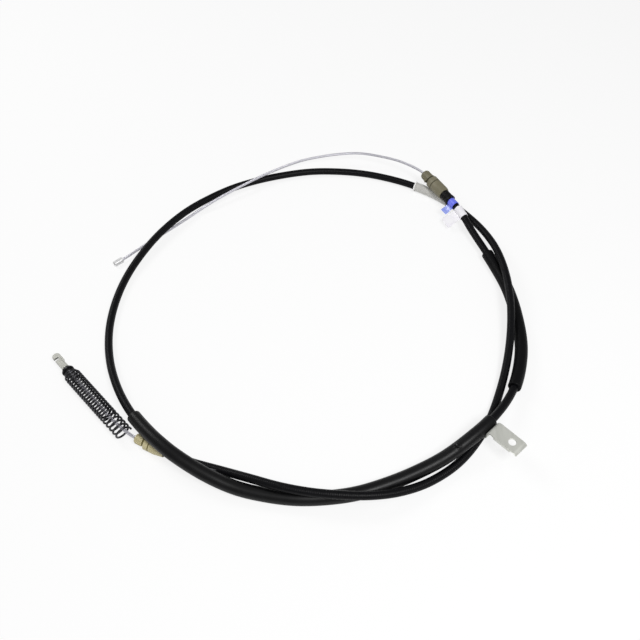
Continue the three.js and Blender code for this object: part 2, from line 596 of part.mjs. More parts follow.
const tubeFront = stationPoint("guideTubeStart");
const tubeHeading = stationPoint("saddleEnd").sub(tubeFront).normalize();
const bracketOutward = new THREE.Vector3().crossVectors(UP, tubeHeading).normalize();
const bracketUp = new THREE.Vector3().crossVectors(tubeHeading, bracketOutward);
const bracketFrame = addFrame(
  along(tubeFront, tubeHeading, BRACKET_FROM_TUBE_END), bracketUp, bracketOutward);
addPiece("mounting_bracket", bracketGeometry(), platedSheet, bracketFrame);

// Front nipple, turned from its wire side.
const nippleFrame = addFrame(NIPPLE_FACE, NIPPLE_AXIS, UP);
addPiece("front_nipple", turned([
  [0, NIPPLE_BORE_DEPTH], [ON_CABLE, NIPPLE_BORE_DEPTH], [ON_CABLE, 0],
  [NIPPLE_RADIUS - NIPPLE_CHAMFER, 0], [NIPPLE_RADIUS, NIPPLE_CHAMFER],
  [NIPPLE_RADIUS, NIPPLE_LENGTH - NIPPLE_CHAMFER],
  [NIPPLE_RADIUS - NIPPLE_CHAMFER, NIPPLE_LENGTH], [0, NIPPLE_LENGTH],
]), dieCast, nippleFrame);

// Return spring: the wire's centreline about its own Y axis.
const springTurns = SPRING_WIDE_TURNS + SPRING_CLOSE_TURNS;
const springStepHalf = Math.PI / SPRING_STEPS_PER_TURN;
const springMean = SPRING_RADIUS - SPRING_WIRE_RADIUS;
const springEndMean = (HOOK_FERRULE_RADIUS + SEAT_GAP + SPRING_WIRE_RADIUS) / Math.cos(springStepHalf);

class SpringWire extends THREE.Curve {
  getPoint(t, target = new THREE.Vector3()) {
    const turns = t * springTurns;
    const taper = (turns - (springTurns - SPRING_END_TURNS - SPRING_TAPER_TURNS)) / SPRING_TAPER_TURNS;
    const radius = THREE.MathUtils.lerp(springMean, springEndMean, THREE.MathUtils.clamp(taper, 0, 1));
    const turn = 2 * Math.PI * turns;
    return target.set(radius * Math.cos(turn), springReach(turns), radius * Math.sin(turn));
  }
  getUtoTmapping(u) {
    return u;
  }
}

const springFrame = addFrame(SPRING_START, SPRING_AXIS, new THREE.Vector3().crossVectors(SPRING_AXIS, UP));
addPiece("return_spring", new THREE.ExtrudeGeometry(section(SPRING_WIRE_RADIUS, 0, SPRING_SIDES), {
  steps: springTurns * SPRING_STEPS_PER_TURN,
  extrudePath: new SpringWire(),
}), springSteel, springFrame);

// Ferrule swaged on the cable's rear end, with the washer that the spring bears on.
const ferruleEnd = HOOK_FERRULE_START + HOOK_FERRULE_LENGTH;
const flangeStart = ferruleEnd - HOOK_FERRULE_FLANGE_LENGTH;
const shankBore = HOOK_SHANK_RADIUS + SEAT_GAP;
const shankBoreStart = ferruleEnd - HOOK_SHANK_LENGTH - SEAT_GAP;
addPiece("hook_ferrule", turned([
  [0, HOOK_FERRULE_START + HOOK_FERRULE_CABLE_DEPTH],
  [ON_CABLE, HOOK_FERRULE_START + HOOK_FERRULE_CABLE_DEPTH],
  [ON_CABLE, HOOK_FERRULE_START], [HOOK_FERRULE_RADIUS, HOOK_FERRULE_START],
  [HOOK_FERRULE_RADIUS, flangeStart], [HOOK_FERRULE_FLANGE_RADIUS, flangeStart],
  [HOOK_FERRULE_FLANGE_RADIUS, ferruleEnd], [shankBore, ferruleEnd],
  [shankBore, shankBoreStart], [0, shankBoreStart],
]), hookSteel, springFrame);
addPiece("spring_seat", ring(
  SPRING_SEAT_RADIUS, HOOK_FERRULE_RADIUS + SEAT_GAP,
  flangeStart - SEAT_GAP - SPRING_SEAT_THICKNESS, SPRING_SEAT_THICKNESS), springSteel, springFrame);

// Hook: a flat blade with an open slot, and a round shank that is swaged in the ferrule.
function hookGeometry() {
  const stem = HOOK_STEM_WIDTH / 2;
  const blade = HOOK_BLADE_WIDTH - stem;
  const tipRadius = HOOK_BLADE_WIDTH / 2;
  const tipX = blade - tipRadius;
  const tipY = HOOK_LENGTH - tipRadius;
  const outline = new THREE.Shape();
  outline.moveTo(-stem, 0);
  outline.lineTo(stem, 0);
  outline.lineTo(stem, HOOK_STEM_LENGTH);
  outline.lineTo(blade, HOOK_STEM_LENGTH + HOOK_SHOULDER_LENGTH);
  outline.absarc(tipX, tipY, tipRadius, 0, Math.PI, false);
  outline.lineTo(-stem, tipY);
  const plate = new THREE.ExtrudeGeometry(
    outline, { depth: HOOK_THICKNESS, bevelEnabled: false, curveSegments: HOOK_TIP_STEPS });
  plate.translate(0, ferruleEnd + SEAT_GAP, -HOOK_THICKNESS / 2);
  const shankStart = ferruleEnd - HOOK_SHANK_LENGTH;
  const shankEnd = ferruleEnd + SEAT_GAP + HOOK_THICKNESS;
  const shank = new THREE.CylinderGeometry(
    HOOK_SHANK_RADIUS, HOOK_SHANK_RADIUS, shankEnd - shankStart, TURNED_SIDES);
  shank.translate(0, (shankStart + shankEnd) / 2, 0);
  const slot = new THREE.BoxGeometry(
    HOOK_SLOT_DEPTH + CUT_OVERRUN, HOOK_SLOT_WIDTH, HOOK_THICKNESS + 2 * CUT_OVERRUN);
  slot.translate(
    (HOOK_SLOT_DEPTH - CUT_OVERRUN) / 2 - stem, ferruleEnd + SEAT_GAP + HOOK_LENGTH - HOOK_SLOT_FROM_TIP, 0);
  return cut(joined(plate, shank), slot);
}
addPiece("rear_hook", hookGeometry(), hookSteel, springFrame);

export default cableAssembly;
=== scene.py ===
# %% [markdown]
# A parking brake cable lies on the floor in two loose coils. At the front a bare wire ends in a
# cast nipple, and at the rear a hook sits in the end of its return spring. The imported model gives
# the place of every piece. This script gives each piece its fine shape and its finish, and each
# step says what the piece is, how it could be made and why it is made this way.

import json
import math

import bmesh
import bpy
from mathutils import Matrix, Vector
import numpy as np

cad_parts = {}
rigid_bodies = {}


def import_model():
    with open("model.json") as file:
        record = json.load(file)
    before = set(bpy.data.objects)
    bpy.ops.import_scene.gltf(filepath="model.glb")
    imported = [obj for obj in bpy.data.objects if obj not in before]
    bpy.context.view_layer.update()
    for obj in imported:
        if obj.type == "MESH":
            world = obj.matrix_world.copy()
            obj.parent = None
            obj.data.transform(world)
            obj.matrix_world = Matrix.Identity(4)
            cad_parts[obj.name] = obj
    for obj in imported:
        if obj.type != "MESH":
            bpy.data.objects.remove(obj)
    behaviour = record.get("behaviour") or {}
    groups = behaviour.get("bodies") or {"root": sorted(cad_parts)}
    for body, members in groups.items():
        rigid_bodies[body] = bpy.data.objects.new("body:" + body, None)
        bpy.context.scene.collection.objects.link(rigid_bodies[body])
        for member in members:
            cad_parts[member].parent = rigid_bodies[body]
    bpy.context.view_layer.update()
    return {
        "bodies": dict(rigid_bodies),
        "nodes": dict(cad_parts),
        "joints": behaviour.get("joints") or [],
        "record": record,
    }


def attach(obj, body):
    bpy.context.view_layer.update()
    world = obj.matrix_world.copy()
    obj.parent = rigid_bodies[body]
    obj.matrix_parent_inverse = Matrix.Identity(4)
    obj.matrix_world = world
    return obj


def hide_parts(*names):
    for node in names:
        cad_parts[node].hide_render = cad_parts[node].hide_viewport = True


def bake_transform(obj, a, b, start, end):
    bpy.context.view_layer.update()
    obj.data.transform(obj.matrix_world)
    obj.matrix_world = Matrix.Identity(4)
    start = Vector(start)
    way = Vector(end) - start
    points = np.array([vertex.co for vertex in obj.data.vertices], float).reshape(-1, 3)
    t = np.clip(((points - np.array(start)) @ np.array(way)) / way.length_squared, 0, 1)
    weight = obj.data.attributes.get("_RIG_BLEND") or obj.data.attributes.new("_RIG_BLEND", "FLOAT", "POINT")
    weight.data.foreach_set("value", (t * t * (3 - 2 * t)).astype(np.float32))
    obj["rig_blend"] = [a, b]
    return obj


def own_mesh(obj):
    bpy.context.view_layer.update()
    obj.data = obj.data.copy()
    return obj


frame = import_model()
MM = 0.001
UP = Vector((0, 0, 1))

# %% [markdown]
# The camera stands where the photograph was taken from: in front of the coils, looking down at a
# little over fifty degrees. Its lens and place were fitted to the outline of the coils and to the
# conduit's thickness in the photograph, near and far, since nothing in it states its distance.

# %% Camera
CAMERA_PLACE = Vector((0.028, -0.4774, 0.607))
CAMERA_AIM = Vector((0.028, -0.02, 0.0))
CAMERA_LENS = 40.5

camera = bpy.data.objects.new("camera", bpy.data.cameras.new("camera"))
camera.data.lens = CAMERA_LENS
camera.location = CAMERA_PLACE
camera.rotation_euler = (CAMERA_AIM - CAMERA_PLACE).to_track_quat("-Z", "Y").to_euler()
bpy.context.scene.collection.objects.link(camera)
bpy.context.scene.camera = camera
print("The camera is", round((CAMERA_AIM - CAMERA_PLACE).length, 3), "m from the middle of the coils")

# %% [markdown]
# One smooth line runs through the whole cable, from the nipple through both fittings to the hook.
# It is a Catmull-Rom curve whose knots are spaced by the square root of their distance, which
# keeps it from overshooting where listed points stand close together. The points of the
# front wire and of the conduit are lists, because no formula gives the way a stiff cable lies.

# %% Points of the cable
WIRE_POINTS = [
    (-0.171, 0.0863, 0.0021), (-0.144, 0.1126, 0.0018), (-0.1296, 0.1268, 0.002),
    (-0.1, 0.1513, 0.0066), (-0.066, 0.176, 0.0098), (-0.033, 0.198, 0.0115),
    (0.003, 0.216, 0.0135), (0.028, 0.223, 0.0145), (0.053, 0.227, 0.0155),
    (0.078, 0.227, 0.0165), (0.102, 0.22, 0.0178), (0.123, 0.2105, 0.0192),
    (0.1365, 0.2014, 0.02), (0.1465, 0.1932, 0.0203),
]
CONDUIT_POINTS = [
    (0.201, 0.099, 0.0125), (0.2195, 0.054, 0.0079), (0.2305, 0.016, 0.0067),
    (0.234, -0.026, 0.0067), (0.2316, -0.063, 0.0072), (0.2203, -0.101, 0.009),
    (0.207, -0.125, 0.0128), (0.1875, -0.149, 0.017), (0.1706, -0.164, 0.0165),
    (0.1416, -0.184, 0.011), (0.1135, -0.1979, 0.0077), (0.086, -0.209, 0.0067),
    (0.0594, -0.2172, 0.0067), (0.033, -0.221, 0.0067), (0.0064, -0.2217, 0.0068),
    (-0.02, -0.2184, 0.0069), (-0.0468, -0.2124, 0.0086), (-0.0736, -0.2024, 0.0144),
    (-0.101, -0.1872, 0.0204), (-0.116, -0.1758, 0.0214), (-0.1318, -0.1608, 0.02),
    (-0.151, -0.1384, 0.017), (-0.1697, -0.107, 0.011), (-0.1838, -0.0714, 0.0058),
    (-0.1906, -0.0352, 0.0042), (-0.1903, 0.0011, 0.0042), (-0.1838, 0.0367, 0.0046),
    (-0.171, 0.069, 0.0068), (-0.154, 0.1, 0.0083), (-0.1305, 0.1317, 0.0082),
    (-0.104, 0.1587, 0.0056), (-0.074, 0.18, 0.0042), (-0.034, 0.196, 0.0042),
    (0.013, 0.2067, 0.0042), (0.048, 0.2075, 0.0042), (0.0826, 0.2033, 0.0042),
    (0.116, 0.1927, 0.0048), (0.1435, 0.1784, 0.0063), (0.1664, 0.1639, 0.006),
    (0.1873, 0.144, 0.0066), (0.2065, 0.1146, 0.01), (0.218, 0.0864, 0.0144),
    (0.2246, 0.0595, 0.0174), (0.2283, 0.0228, 0.018), (0.2263, -0.0197, 0.016),
    (0.2178, -0.0663, 0.0105), (0.2036, -0.1098, 0.0052), (0.184, -0.1504, 0.0042),
    (0.1568, -0.1842, 0.0042), (0.1276, -0.2046, 0.005), (0.0995, -0.2166, 0.0098),
    (0.072, -0.2226, 0.0154), (0.0458, -0.2231, 0.0178), (0.0198, -0.2207, 0.0179),
    (-0.0065, -0.2153, 0.0172), (-0.0338, -0.2056, 0.013), (-0.0618, -0.1946, 0.0063),
    (-0.0885, -0.1866, 0.0055),
]
print(len(WIRE_POINTS), "points on the front wire and", len(CONDUIT_POINTS), "on the conduit")


# %% Ends of the cable
def heading(degrees, climb=0.0):
    turn, rise = math.radians(degrees), math.radians(climb)
    level = Vector((math.cos(turn), math.sin(turn), 0)) * math.cos(rise)
    return level + UP * math.sin(rise)


FRONT_MOUTH, FRONT_AXIS = Vector((0.154, 0.185, 0.0202)), heading(-59, -2)
REAR_MOUTH, REAR_AXIS = Vector((-0.1424, -0.1625, 0.0072)), heading(153)
SPRING_START, SPRING_AXIS = Vector((-0.1538, -0.1589, 0.00865)), heading(134)
NIPPLE_FACE, NIPPLE_AXIS = Vector((-0.193, 0.0622, 0.0036)), heading(-138)
NIPPLE_BORE = 7.2 * MM
NIPPLE_LEAD = 4.5 * MM
CONDUIT_START = 29 * MM
TAPE_START, TAPE_WIDTH = 52.2 * MM, 9 * MM
LABEL_START, LABEL_WIDTH = 65.7 * MM, 14 * MM
REAR_FITTING_LENGTH = 32 * MM
REAR_TAIL_LEAD = 8 * MM
REAR_SEAT = 18 * MM
SEAT_GAP = 0.3 * MM
REAR_MOUTH_LEAD = 6 * MM
IN_SPRING = (24.75 * MM, 49.5 * MM)
FERRULE_START = 82 * MM
FERRULE_CABLE_DEPTH = 7.7 * MM
JACKET_RADIUS = 4 * MM

route_points = [
    NIPPLE_FACE + NIPPLE_AXIS * NIPPLE_BORE, NIPPLE_FACE, NIPPLE_FACE - NIPPLE_AXIS * NIPPLE_LEAD,
    *map(Vector, WIRE_POINTS),
    FRONT_MOUTH,
    FRONT_MOUTH + FRONT_AXIS * CONDUIT_START,
    FRONT_MOUTH + FRONT_AXIS * (TAPE_START + TAPE_WIDTH),
    FRONT_MOUTH + FRONT_AXIS * (LABEL_START + JACKET_RADIUS),
    *map(Vector, CONDUIT_POINTS),
    REAR_MOUTH - REAR_AXIS * (REAR_FITTING_LENGTH + REAR_TAIL_LEAD),
    REAR_MOUTH - REAR_AXIS * REAR_FITTING_LENGTH,
    REAR_MOUTH - REAR_AXIS * REAR_SEAT,
    REAR_MOUTH,
    REAR_MOUTH + REAR_AXIS * REAR_MOUTH_LEAD,
    *[SPRING_START + SPRING_AXIS * depth for depth in IN_SPRING],
    SPRING_START + SPRING_AXIS * FERRULE_START,
    SPRING_START + SPRING_AXIS * (FERRULE_START + FERRULE_CABLE_DEPTH),
]
print("The whole line has", len(route_points), "points")

# %% [markdown]
# The line is measured once, in short steps, so that a place on it can be asked for by its length
# from the nipple. Every tube, sleeve and tape below is placed by such a length.

# %% Measure the line
SAMPLES = 60


def curve_piece(before, start, end, after, share):
    """A point of the Catmull-Rom curve between start and end."""
    gaps = [math.sqrt((b - a).length) for a, b in ((before, start), (start, end), (end, after))]
    first = (start - before) / gaps[0] - (end - before) / (gaps[0] + gaps[1])
    last = (after - end) / gaps[2] - (after - start) / (gaps[1] + gaps[2])
    step = (end - start) / gaps[1]
    leave, arrive = (first + step) * gaps[1], (last + step) * gaps[1]
    rise = 3 * (end - start) - 2 * leave - arrive
    settle = 2 * (start - end) + leave + arrive
    return start + leave * share + rise * share ** 2 + settle * share ** 3


def measured(points):
    padded = [2 * points[0] - points[1], *points, 2 * points[-1] - points[-2]]
    line, lengths = [points[0].copy()], [0.0]
    for knots in zip(padded, padded[1:], padded[2:], padded[3:]):
        for sample in range(1, SAMPLES + 1):
            line.append(curve_piece(*knots, sample / SAMPLES))
            lengths.append(lengths[-1] + (line[-1] - line[-2]).length)
    return line, lengths


line, lengths = measured(route_points)


def length_to(point):
    return lengths[route_points.index(point) * SAMPLES]


def point_at(length):
    low, high = 0, len(lengths) - 1
    while high - low > 1:
        middle = (low + high) // 2
        low, high = (middle, high) if lengths[middle] <= length else (low, middle)
    share = (length - lengths[low]) / (lengths[high] - lengths[low])
    return line[low].lerp(line[high], share)


front_mouth_at = length_to(FRONT_MOUTH)
rear_mouth_at = length_to(REAR_MOUTH)
conduit_from = front_mouth_at + CONDUIT_START
conduit_to = rear_mouth_at - REAR_SEAT - SEAT_GAP
print("The line is", round(lengths[-1], 3), "m long and the conduit", round(conduit_to - conduit_from, 3))

# %% [markdown]
# A tube along the line could be a curve with a round bevel. A ring that is extruded from place to
# place keeps more control: it can have an inner wall, rounded ends and its own map, whose first
# number is the length along the cable and whose second is the turn around it. Each frame turns as
# little as it can from the one before, so the tube doesn't twist.

# %% Frames along the line
LOOK_AHEAD = 0.4 * MM


def frames_at(places):
    frames, facing, turn = [], UP, Matrix.Identity(3).to_quaternion()
    for place in places:
        behind = point_at(max(place - LOOK_AHEAD, 0.0))
        ahead = point_at(min(place + LOOK_AHEAD, lengths[-1]))
        tangent = (ahead - behind).normalized()
        turn = facing.rotation_difference(tangent) @ turn
        facing = tangent
        frames.append(Matrix.Translation(point_at(place)) @ turn.to_matrix().to_4x4())
    return frames


def rounded_places(start, end, radius, rounding, step):
    """Pairs of length and radius for a tube whose two ends are rounded over."""
    turns = [math.radians(angle) for angle in (0, 30, 60, 90)]
    corner = [(rounding * (1 - math.cos(t)), rounding * (1 - math.sin(t))) for t in turns]
    first = [(start + depth, radius - drop) for depth, drop in corner]
    last = [(end - depth, radius - drop) for depth, drop in reversed(corner)]
    count = max(1, round((last[0][0] - first[-1][0]) / step))
    run = (last[0][0] - first[-1][0]) / count
    return first + [(first[-1][0] + run * i, radius) for i in range(1, count)] + last


print("A frame is made for any list of places")


# %% Sweep a ring along the line
STRAND_GROOVE = 0.1


def extruded_ring(bm, edges, change):
    made = bmesh.ops.extrude_edge_only(bm, edges=edges)["geom"]
    verts = [item for item in made if isinstance(item, bmesh.types.BMVert)]
    bmesh.ops.transform(bm, matrix=change, verts=verts)
    fresh = set(verts)
    ring = {e for v in verts for e in v.link_edges if e.other_vert(v) in fresh}
    return verts, list(ring)


def map_run(bm, along, around):
    """Gives every face the map of the run: length along the cable, and turn around it."""
    run = bm.loops.layers.uv.new("Run")
    for face in bm.faces:
        turns = [loop.vert[around] for loop in face.loops]
        wraps = max(turns) - min(turns) > 0.5
        for loop, turn in zip(face.loops, turns):
            loop[run].uv = (loop.vert[along], turn + 1 if wraps and turn < 0.5 else turn)


def swept(places, sides, bore=0.0, strands=0, lay=0.0):
    """A tube through places. A bore gives it an inner wall, and strands groove it like a rope."""
    frames = frames_at([place for place, radius in places])
    stops = [(frame, radius, place) for frame, (place, radius) in zip(frames, places)]
    if bore:
        stops += [(frame, bore, place) for frame, radius, place in reversed(stops)]
    bm = bmesh.new()
    along = bm.verts.layers.float.new("along")
    around = bm.verts.layers.float.new("around")
    verts = bmesh.ops.create_circle(bm, segments=sides, radius=1.0)["verts"]
    for vert in verts:
        vert[around] = (math.atan2(vert.co.y, vert.co.x) / math.tau) % 1.0
        if strands:
            vert.co *= 1 - STRAND_GROOVE * abs(math.sin(math.pi * strands * vert[around])) ** 4
    ring = first_ring = list(bm.edges)
    last_pose = Matrix.Identity(4)
    for index, (frame, radius, place) in enumerate(stops):
        twist = Matrix.Rotation(math.tau * place / lay if lay else 0.0, 4, "Z")
        pose = frame @ twist @ Matrix.Diagonal((radius, radius, radius, 1.0))
        change = pose @ last_pose.inverted()
        if index:
            verts, ring = extruded_ring(bm, ring, change)
        else:
            bmesh.ops.transform(bm, matrix=change, verts=verts)
        for vert in verts:
            vert[along] = place
        last_pose = pose
    if bore:
        bmesh.ops.bridge_loops(bm, edges=first_ring + ring)
    else:
        bmesh.ops.contextual_create(bm, geom=first_ring)
        bmesh.ops.contextual_create(bm, geom=ring)
    bmesh.ops.recalc_face_normals(bm, faces=bm.faces)
    map_run(bm, along, around)
    return bm


print("Tubes, sleeves and wires are all swept by one function")

# %% [markdown]
# A finished piece keeps its place in its mesh, so its object stays at the origin. Edges that a
# tool would leave sharp get a small live bevel, which catches light as a moulded or pressed edge
# does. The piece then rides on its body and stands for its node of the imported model.

# %% Finish a piece
SHARP = math.radians(38)


def finished(name, bm, material, body, nodes=(), place=None, soften=0.0):
    if place is not None:
        bmesh.ops.transform(bm, matrix=place, verts=bm.verts)
    mesh = bpy.data.meshes.new(name)
    bm.to_mesh(mesh)
    bm.free()
    for finish in material if isinstance(material, (list, tuple)) else [material]:
        mesh.materials.append(finish)
    mesh.shade_smooth()
    mesh.set_sharp_from_angle(angle=SHARP)
    piece = bpy.data.objects.new(name, mesh)
    bpy.context.scene.collection.objects.link(piece)
    if soften:
        bevel = piece.modifiers.new("softened edges", "BEVEL")
        bevel.width = soften
        bevel.segments = 2
        bevel.limit_method = "ANGLE"
        bevel.angle_limit = SHARP
        bevel.harden_normals = True
    if body:
        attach(piece, body)
    if nodes:
        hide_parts(*nodes)
    print(name, "has", len(mesh.polygons), "faces")
    return piece


# %% [markdown]
# Shader maths reads best as plain expressions. A small class wraps a socket, and its operators
# add Math nodes, so that 1 - mask works. Any other node comes from one method, which sets the
# node's settings first and then its inputs.

# %% Shader helpers
class Field:
    """A value in a material, on which Python's operators work."""

    def __init__(self, finish, socket):
        self.finish, self.socket = finish, socket

    def maths(self, operation, *values):
        node = self.finish.node("ShaderNodeMath", {"operation": operation}, dict(enumerate(values)))
        return Field(self.finish, node.outputs[0])

    def __add__(self, other):
        return self.maths("ADD", self, other)

    def __sub__(self, other):
        return self.maths("SUBTRACT", self, other)

    def __rsub__(self, other):
        return self.maths("SUBTRACT", other, self)

    def __mul__(self, other):
        return self.maths("MULTIPLY", self, other)

    __radd__ = __add__
    __rmul__ = __mul__

    def sine(self):
        return self.maths("SINE", self)


class Finish:
    """A procedural material round one Principled shader."""

    def __init__(self, name, **constants):
        self.material = bpy.data.materials.new(name)
        self.material.use_nodes = True
        self.tree = self.material.node_tree
        self.shader = self.tree.nodes["Principled BSDF"]
        self.set(**{key.replace("_", " "): value for key, value in constants.items()})

    def feed(self, socket, value):
        if isinstance(value, Field):
            self.tree.links.new(value.socket, socket)
        else:
            socket.default_value = value

    def set(self, **inputs):
        for name, value in inputs.items():
            self.feed(self.shader.inputs[name], value)

    def node(self, kind, settings=None, inputs=None):
        made = self.tree.nodes.new(kind)
        for key, value in (settings or {}).items():
            setattr(made, key, value)
        for key, value in (inputs or {}).items():
            self.feed(made.inputs[key], value)
        return made

    def place(self):
        return Field(self, self.node("ShaderNodeTexCoord").outputs["Object"])

    def run(self):
        """The map of the run, as a length in metres and a turn from 0 to 1."""
        mapped = self.node("ShaderNodeUVMap", {"uv_map": "Run"}).outputs["UV"]
        parts = self.node("ShaderNodeSeparateXYZ", inputs={"Vector": Field(self, mapped)})
        return Field(self, parts.outputs["X"]), Field(self, parts.outputs["Y"])

    def noise(self, scale, detail=3.0, vector=None):
        inputs = {"Vector": vector or self.place(), "Scale": scale, "Detail": detail}
        return Field(self, self.node("ShaderNodeTexNoise", inputs=inputs).outputs[0])

    def streaks(self, scale, stretch, detail=2.0):
        """Noise that is drawn out along one axis, as by a die or a roller."""
        mapping = self.node("ShaderNodeMapping", inputs={"Vector": self.place(), "Scale": stretch})
        return self.noise(scale, detail, Field(self, mapping.outputs[0]))

    def mix(self, factor, low, high):
        node = self.node("ShaderNodeMix", {"data_type": "RGBA"}, {"Factor": factor})
        self.feed(node.inputs[6], low)
        self.feed(node.inputs[7], high)
        return Field(self, node.outputs[2])

    def paint(self, factor, dark, light):
        self.set(**{"Base Color": self.mix(factor, colour(dark), colour(light))})

    def relief(self, height, depth):
        bump = self.node("ShaderNodeBump", inputs={"Height": height, "Distance": depth})
        self.set(Normal=Field(self, bump.outputs[0]))


def colour(code):
    """A colour written as on screen, such as 0xb3a87c, in the shader's own linear numbers."""
    parts = [(code >> shift & 255) / 255 for shift in (16, 8, 0)]
    return (*[p / 12.92 if p < 0.04045 else ((p + 0.055) / 1.055) ** 2.4 for p in parts], 1.0)


print("Materials are built from expressions")

# %% [markdown]
# The black pieces differ in gloss. The jacket is satin plastic with the faint spiral of the wound
# armour under it. The sleeve is duller rubber, and the guide tube is painted and a little shinier.
# Their specular level is low, because black plastic under a white sky would turn grey otherwise.

# %% Black finishes
ARMOUR_PITCH = 1.9 * MM


def jacket_finish():
    finish = Finish("jacket_black", Specular_IOR_Level=0.14)
    length, turn = finish.run()
    spiral = ((length * (1 / ARMOUR_PITCH) + turn) * math.tau).sine()
    scuffs = finish.noise(260, 4.0)
    finish.paint(scuffs, 0x050507, 0x0c0c0f)
    finish.set(Roughness=scuffs * 0.2 + 0.32)
    finish.relief(spiral * 0.5 + finish.noise(900) * 0.1, 0.1 * MM)
    return finish.material


def black_finish(name, light, dark, roughness, level, grain, depth):
    finish = Finish(name, Specular_IOR_Level=level)
    wear = finish.noise(120, 4.0)
    finish.paint(wear, dark, light)
    finish.set(Roughness=wear * 0.16 + (roughness - 0.08))
    finish.relief(finish.noise(grain), depth)
    return finish.material


jacket_black = jacket_finish()
sleeve_black = black_finish("sleeve_rubber", 0x0b0b0d, 0x050506, 0.5, 0.12, 1500, 0.08 * MM)
tube_black = black_finish("tube_paint", 0x0a0a0c, 0x040405, 0.42, 0.26, 700, 0.02 * MM)
collar_black = black_finish("collar_rubber", 0x0c0c0c, 0x050505, 0.5, 0.2, 1200, 0.1 * MM)
seal_black = black_finish("seal_rubber", 0x141414, 0x0b0b0b, 0.6, 0.25, 1500, 0.05 * MM)
print("Five black finishes are ready")

# %% [markdown]
# The steel pieces are metallic, with roughness from fine noise. Drawn wire has streaks along it,
# rolled sheet has streaks along its length, and the casting has a fine grain. The spring is black
# and half glossy, so its turns catch thin lines of light.


# %% Metal finishes
def metal_finish(name, light, dark, roughness, grain, depth, stretch=(1, 1, 1), metallic=1.0):
    finish = Finish(name, Metallic=metallic)
    streaks = finish.streaks(grain, stretch)
    finish.paint(streaks, dark, light)
    finish.set(Roughness=streaks * 0.2 + (roughness - 0.1))
    finish.relief(streaks, depth)
    return finish.material


wire_zinc = metal_finish("zinc_wire", 0xe4e3ea, 0xbdbcc4, 0.4, 900, 0.02 * MM, metallic=0.5)
armour_zinc = metal_finish("armour_wire", 0xb9b9be, 0x8f8f95, 0.4, 500, 0.05 * MM)
ferrule_zinc = metal_finish("crimped_ferrule", 0xbdbdc2, 0x95959b, 0.36, 400, 0.04 * MM)
cast_zinc = metal_finish("cast_nipple", 0xf0f0f0, 0xd6d6d7, 0.42, 1400, 0.03 * MM, metallic=0.5)
sheet_zinc = metal_finish("plated_sheet", 0xebece5, 0xd0d1c9, 0.34, 260, 0.01 * MM, (1, 0.12, 1), 0.5)
hook_grey = metal_finish("hook_steel", 0xa3a39d, 0x7c7c76, 0.4, 260, 0.01 * MM, metallic=0.6)
ferrule_grey = metal_finish("swaged_ferrule", 0x5c5c5c, 0x393939, 0.4, 500, 0.05 * MM, metallic=0.8)
spring_black = metal_finish("spring_wire", 0x4e4e52, 0x28282a, 0.27, 700, 0.01 * MM, metallic=0.8)
seat_black = metal_finish("spring_seat", 0x2a2a2c, 0x161618, 0.42, 500, 0.04 * MM, metallic=0.5)
print("Nine metal finishes are ready")

# %% [markdown]
# The nylon fittings are moulded in olive grey and beige. Nylon scatters a little light under its
# skin, and its colour clouds slightly, so two noises mix a lighter and a darker tone. The milky
# sleeve lets the dark conduit show through, which a plain alpha gives and the export keeps.


# %% Plastic and paper finishes
def nylon_finish(name, light, dark, roughness=0.48):
    finish = Finish(name, Specular_IOR_Level=0.4)
    clouds = finish.noise(90, 4.0)
    finish.paint(clouds, dark, light)
    finish.set(Roughness=finish.noise(400) * 0.2 + (roughness - 0.1))
    finish.relief(finish.noise(1100), 0.06 * MM)
    return finish.material


def film_finish(name, light, dark, alpha, roughness, coat=0.0):
    finish = Finish(name, Alpha=alpha, Coat_Weight=coat)
    clouds = finish.noise(140)
    finish.paint(clouds, dark, light)
    finish.set(Roughness=clouds * 0.16 + (roughness - 0.08))
    finish.relief(finish.noise(300), 0.04 * MM)
    return finish.material


olive_nylon = nylon_finish("olive_nylon", 0x88836e, 0x69644f)
beige_nylon = nylon_finish("beige_nylon", 0xd8cfa9, 0xb5ab80)
# The two darker copies of the nylons are painted shade for the fittings' nose ends, necks and grooves.
olive_painted_shade = nylon_finish("olive_nylon_painted_shade", 0x56523f, 0x3b3828)
beige_painted_shade = nylon_finish("beige_nylon_painted_shade", 0x8d8350, 0x655c32)
liner_white = nylon_finish("liner_plastic", 0xf2efe4, 0xdedacb, 0.4)
milky_film = film_finish("milky_plastic", 0xe6e5e1, 0xcfcec9, 0.72, 0.35, 0.2)
milky_rim = film_finish("milky_plastic_rim", 0xffffff, 0xf0f0ec, 1.0, 0.35, 0.2)
tape_blue = film_finish("blue_tape", 0x7f8bff, 0x5a64ea, 1.0, 0.3, 0.5)
tape_pale = film_finish("blue_tape_thin", 0xb4c4ff, 0x7f90f8, 0.78, 0.25, 0.6)
label_white = film_finish("label_paper", 0xffffff, 0xeeeaf4, 1.0, 0.55)
print("Ten plastic and paper finishes are ready")

# %% [markdown]
# The conduit is the object's free cord: stiff, eight millimetres thick, a little over two metres
# long, and coiled. Its jacket is swept as a hollow tube, since the armour and liner of the packed
# model stay inside it, and those two only get their finishes.

# %% Conduit
CONDUIT_STEP = 3 * MM
JACKET_BORE = 3.3 * MM

conduit_places = rounded_places(conduit_from, conduit_to, JACKET_RADIUS, 0.4 * MM, CONDUIT_STEP)
jacket = finished("conduit_jacket_tube", swept(conduit_places, 28, JACKET_BORE), jacket_black,
                  "conduit_and_wire", ["conduit_jacket"])
for node, finish in (("conduit_armour", armour_zinc), ("conduit_liner", liner_white),
                     ("front_ferrule", ferrule_zinc), ("rear_ferrule", ferrule_zinc)):
    frame["nodes"][node].material_slots[0].material = finish

# %% [markdown]
# The inner wire is stranded. Its front stretch is bare from the nipple to the front fitting, and
# its rear stretch runs through the spring. Twelve grooves that turn once in twenty-eight
# millimetres give the strands. The wire is made in three lengths, because its two ends move while
# the middle, hidden in the conduit, can stay. Each end length bends between two bodies.

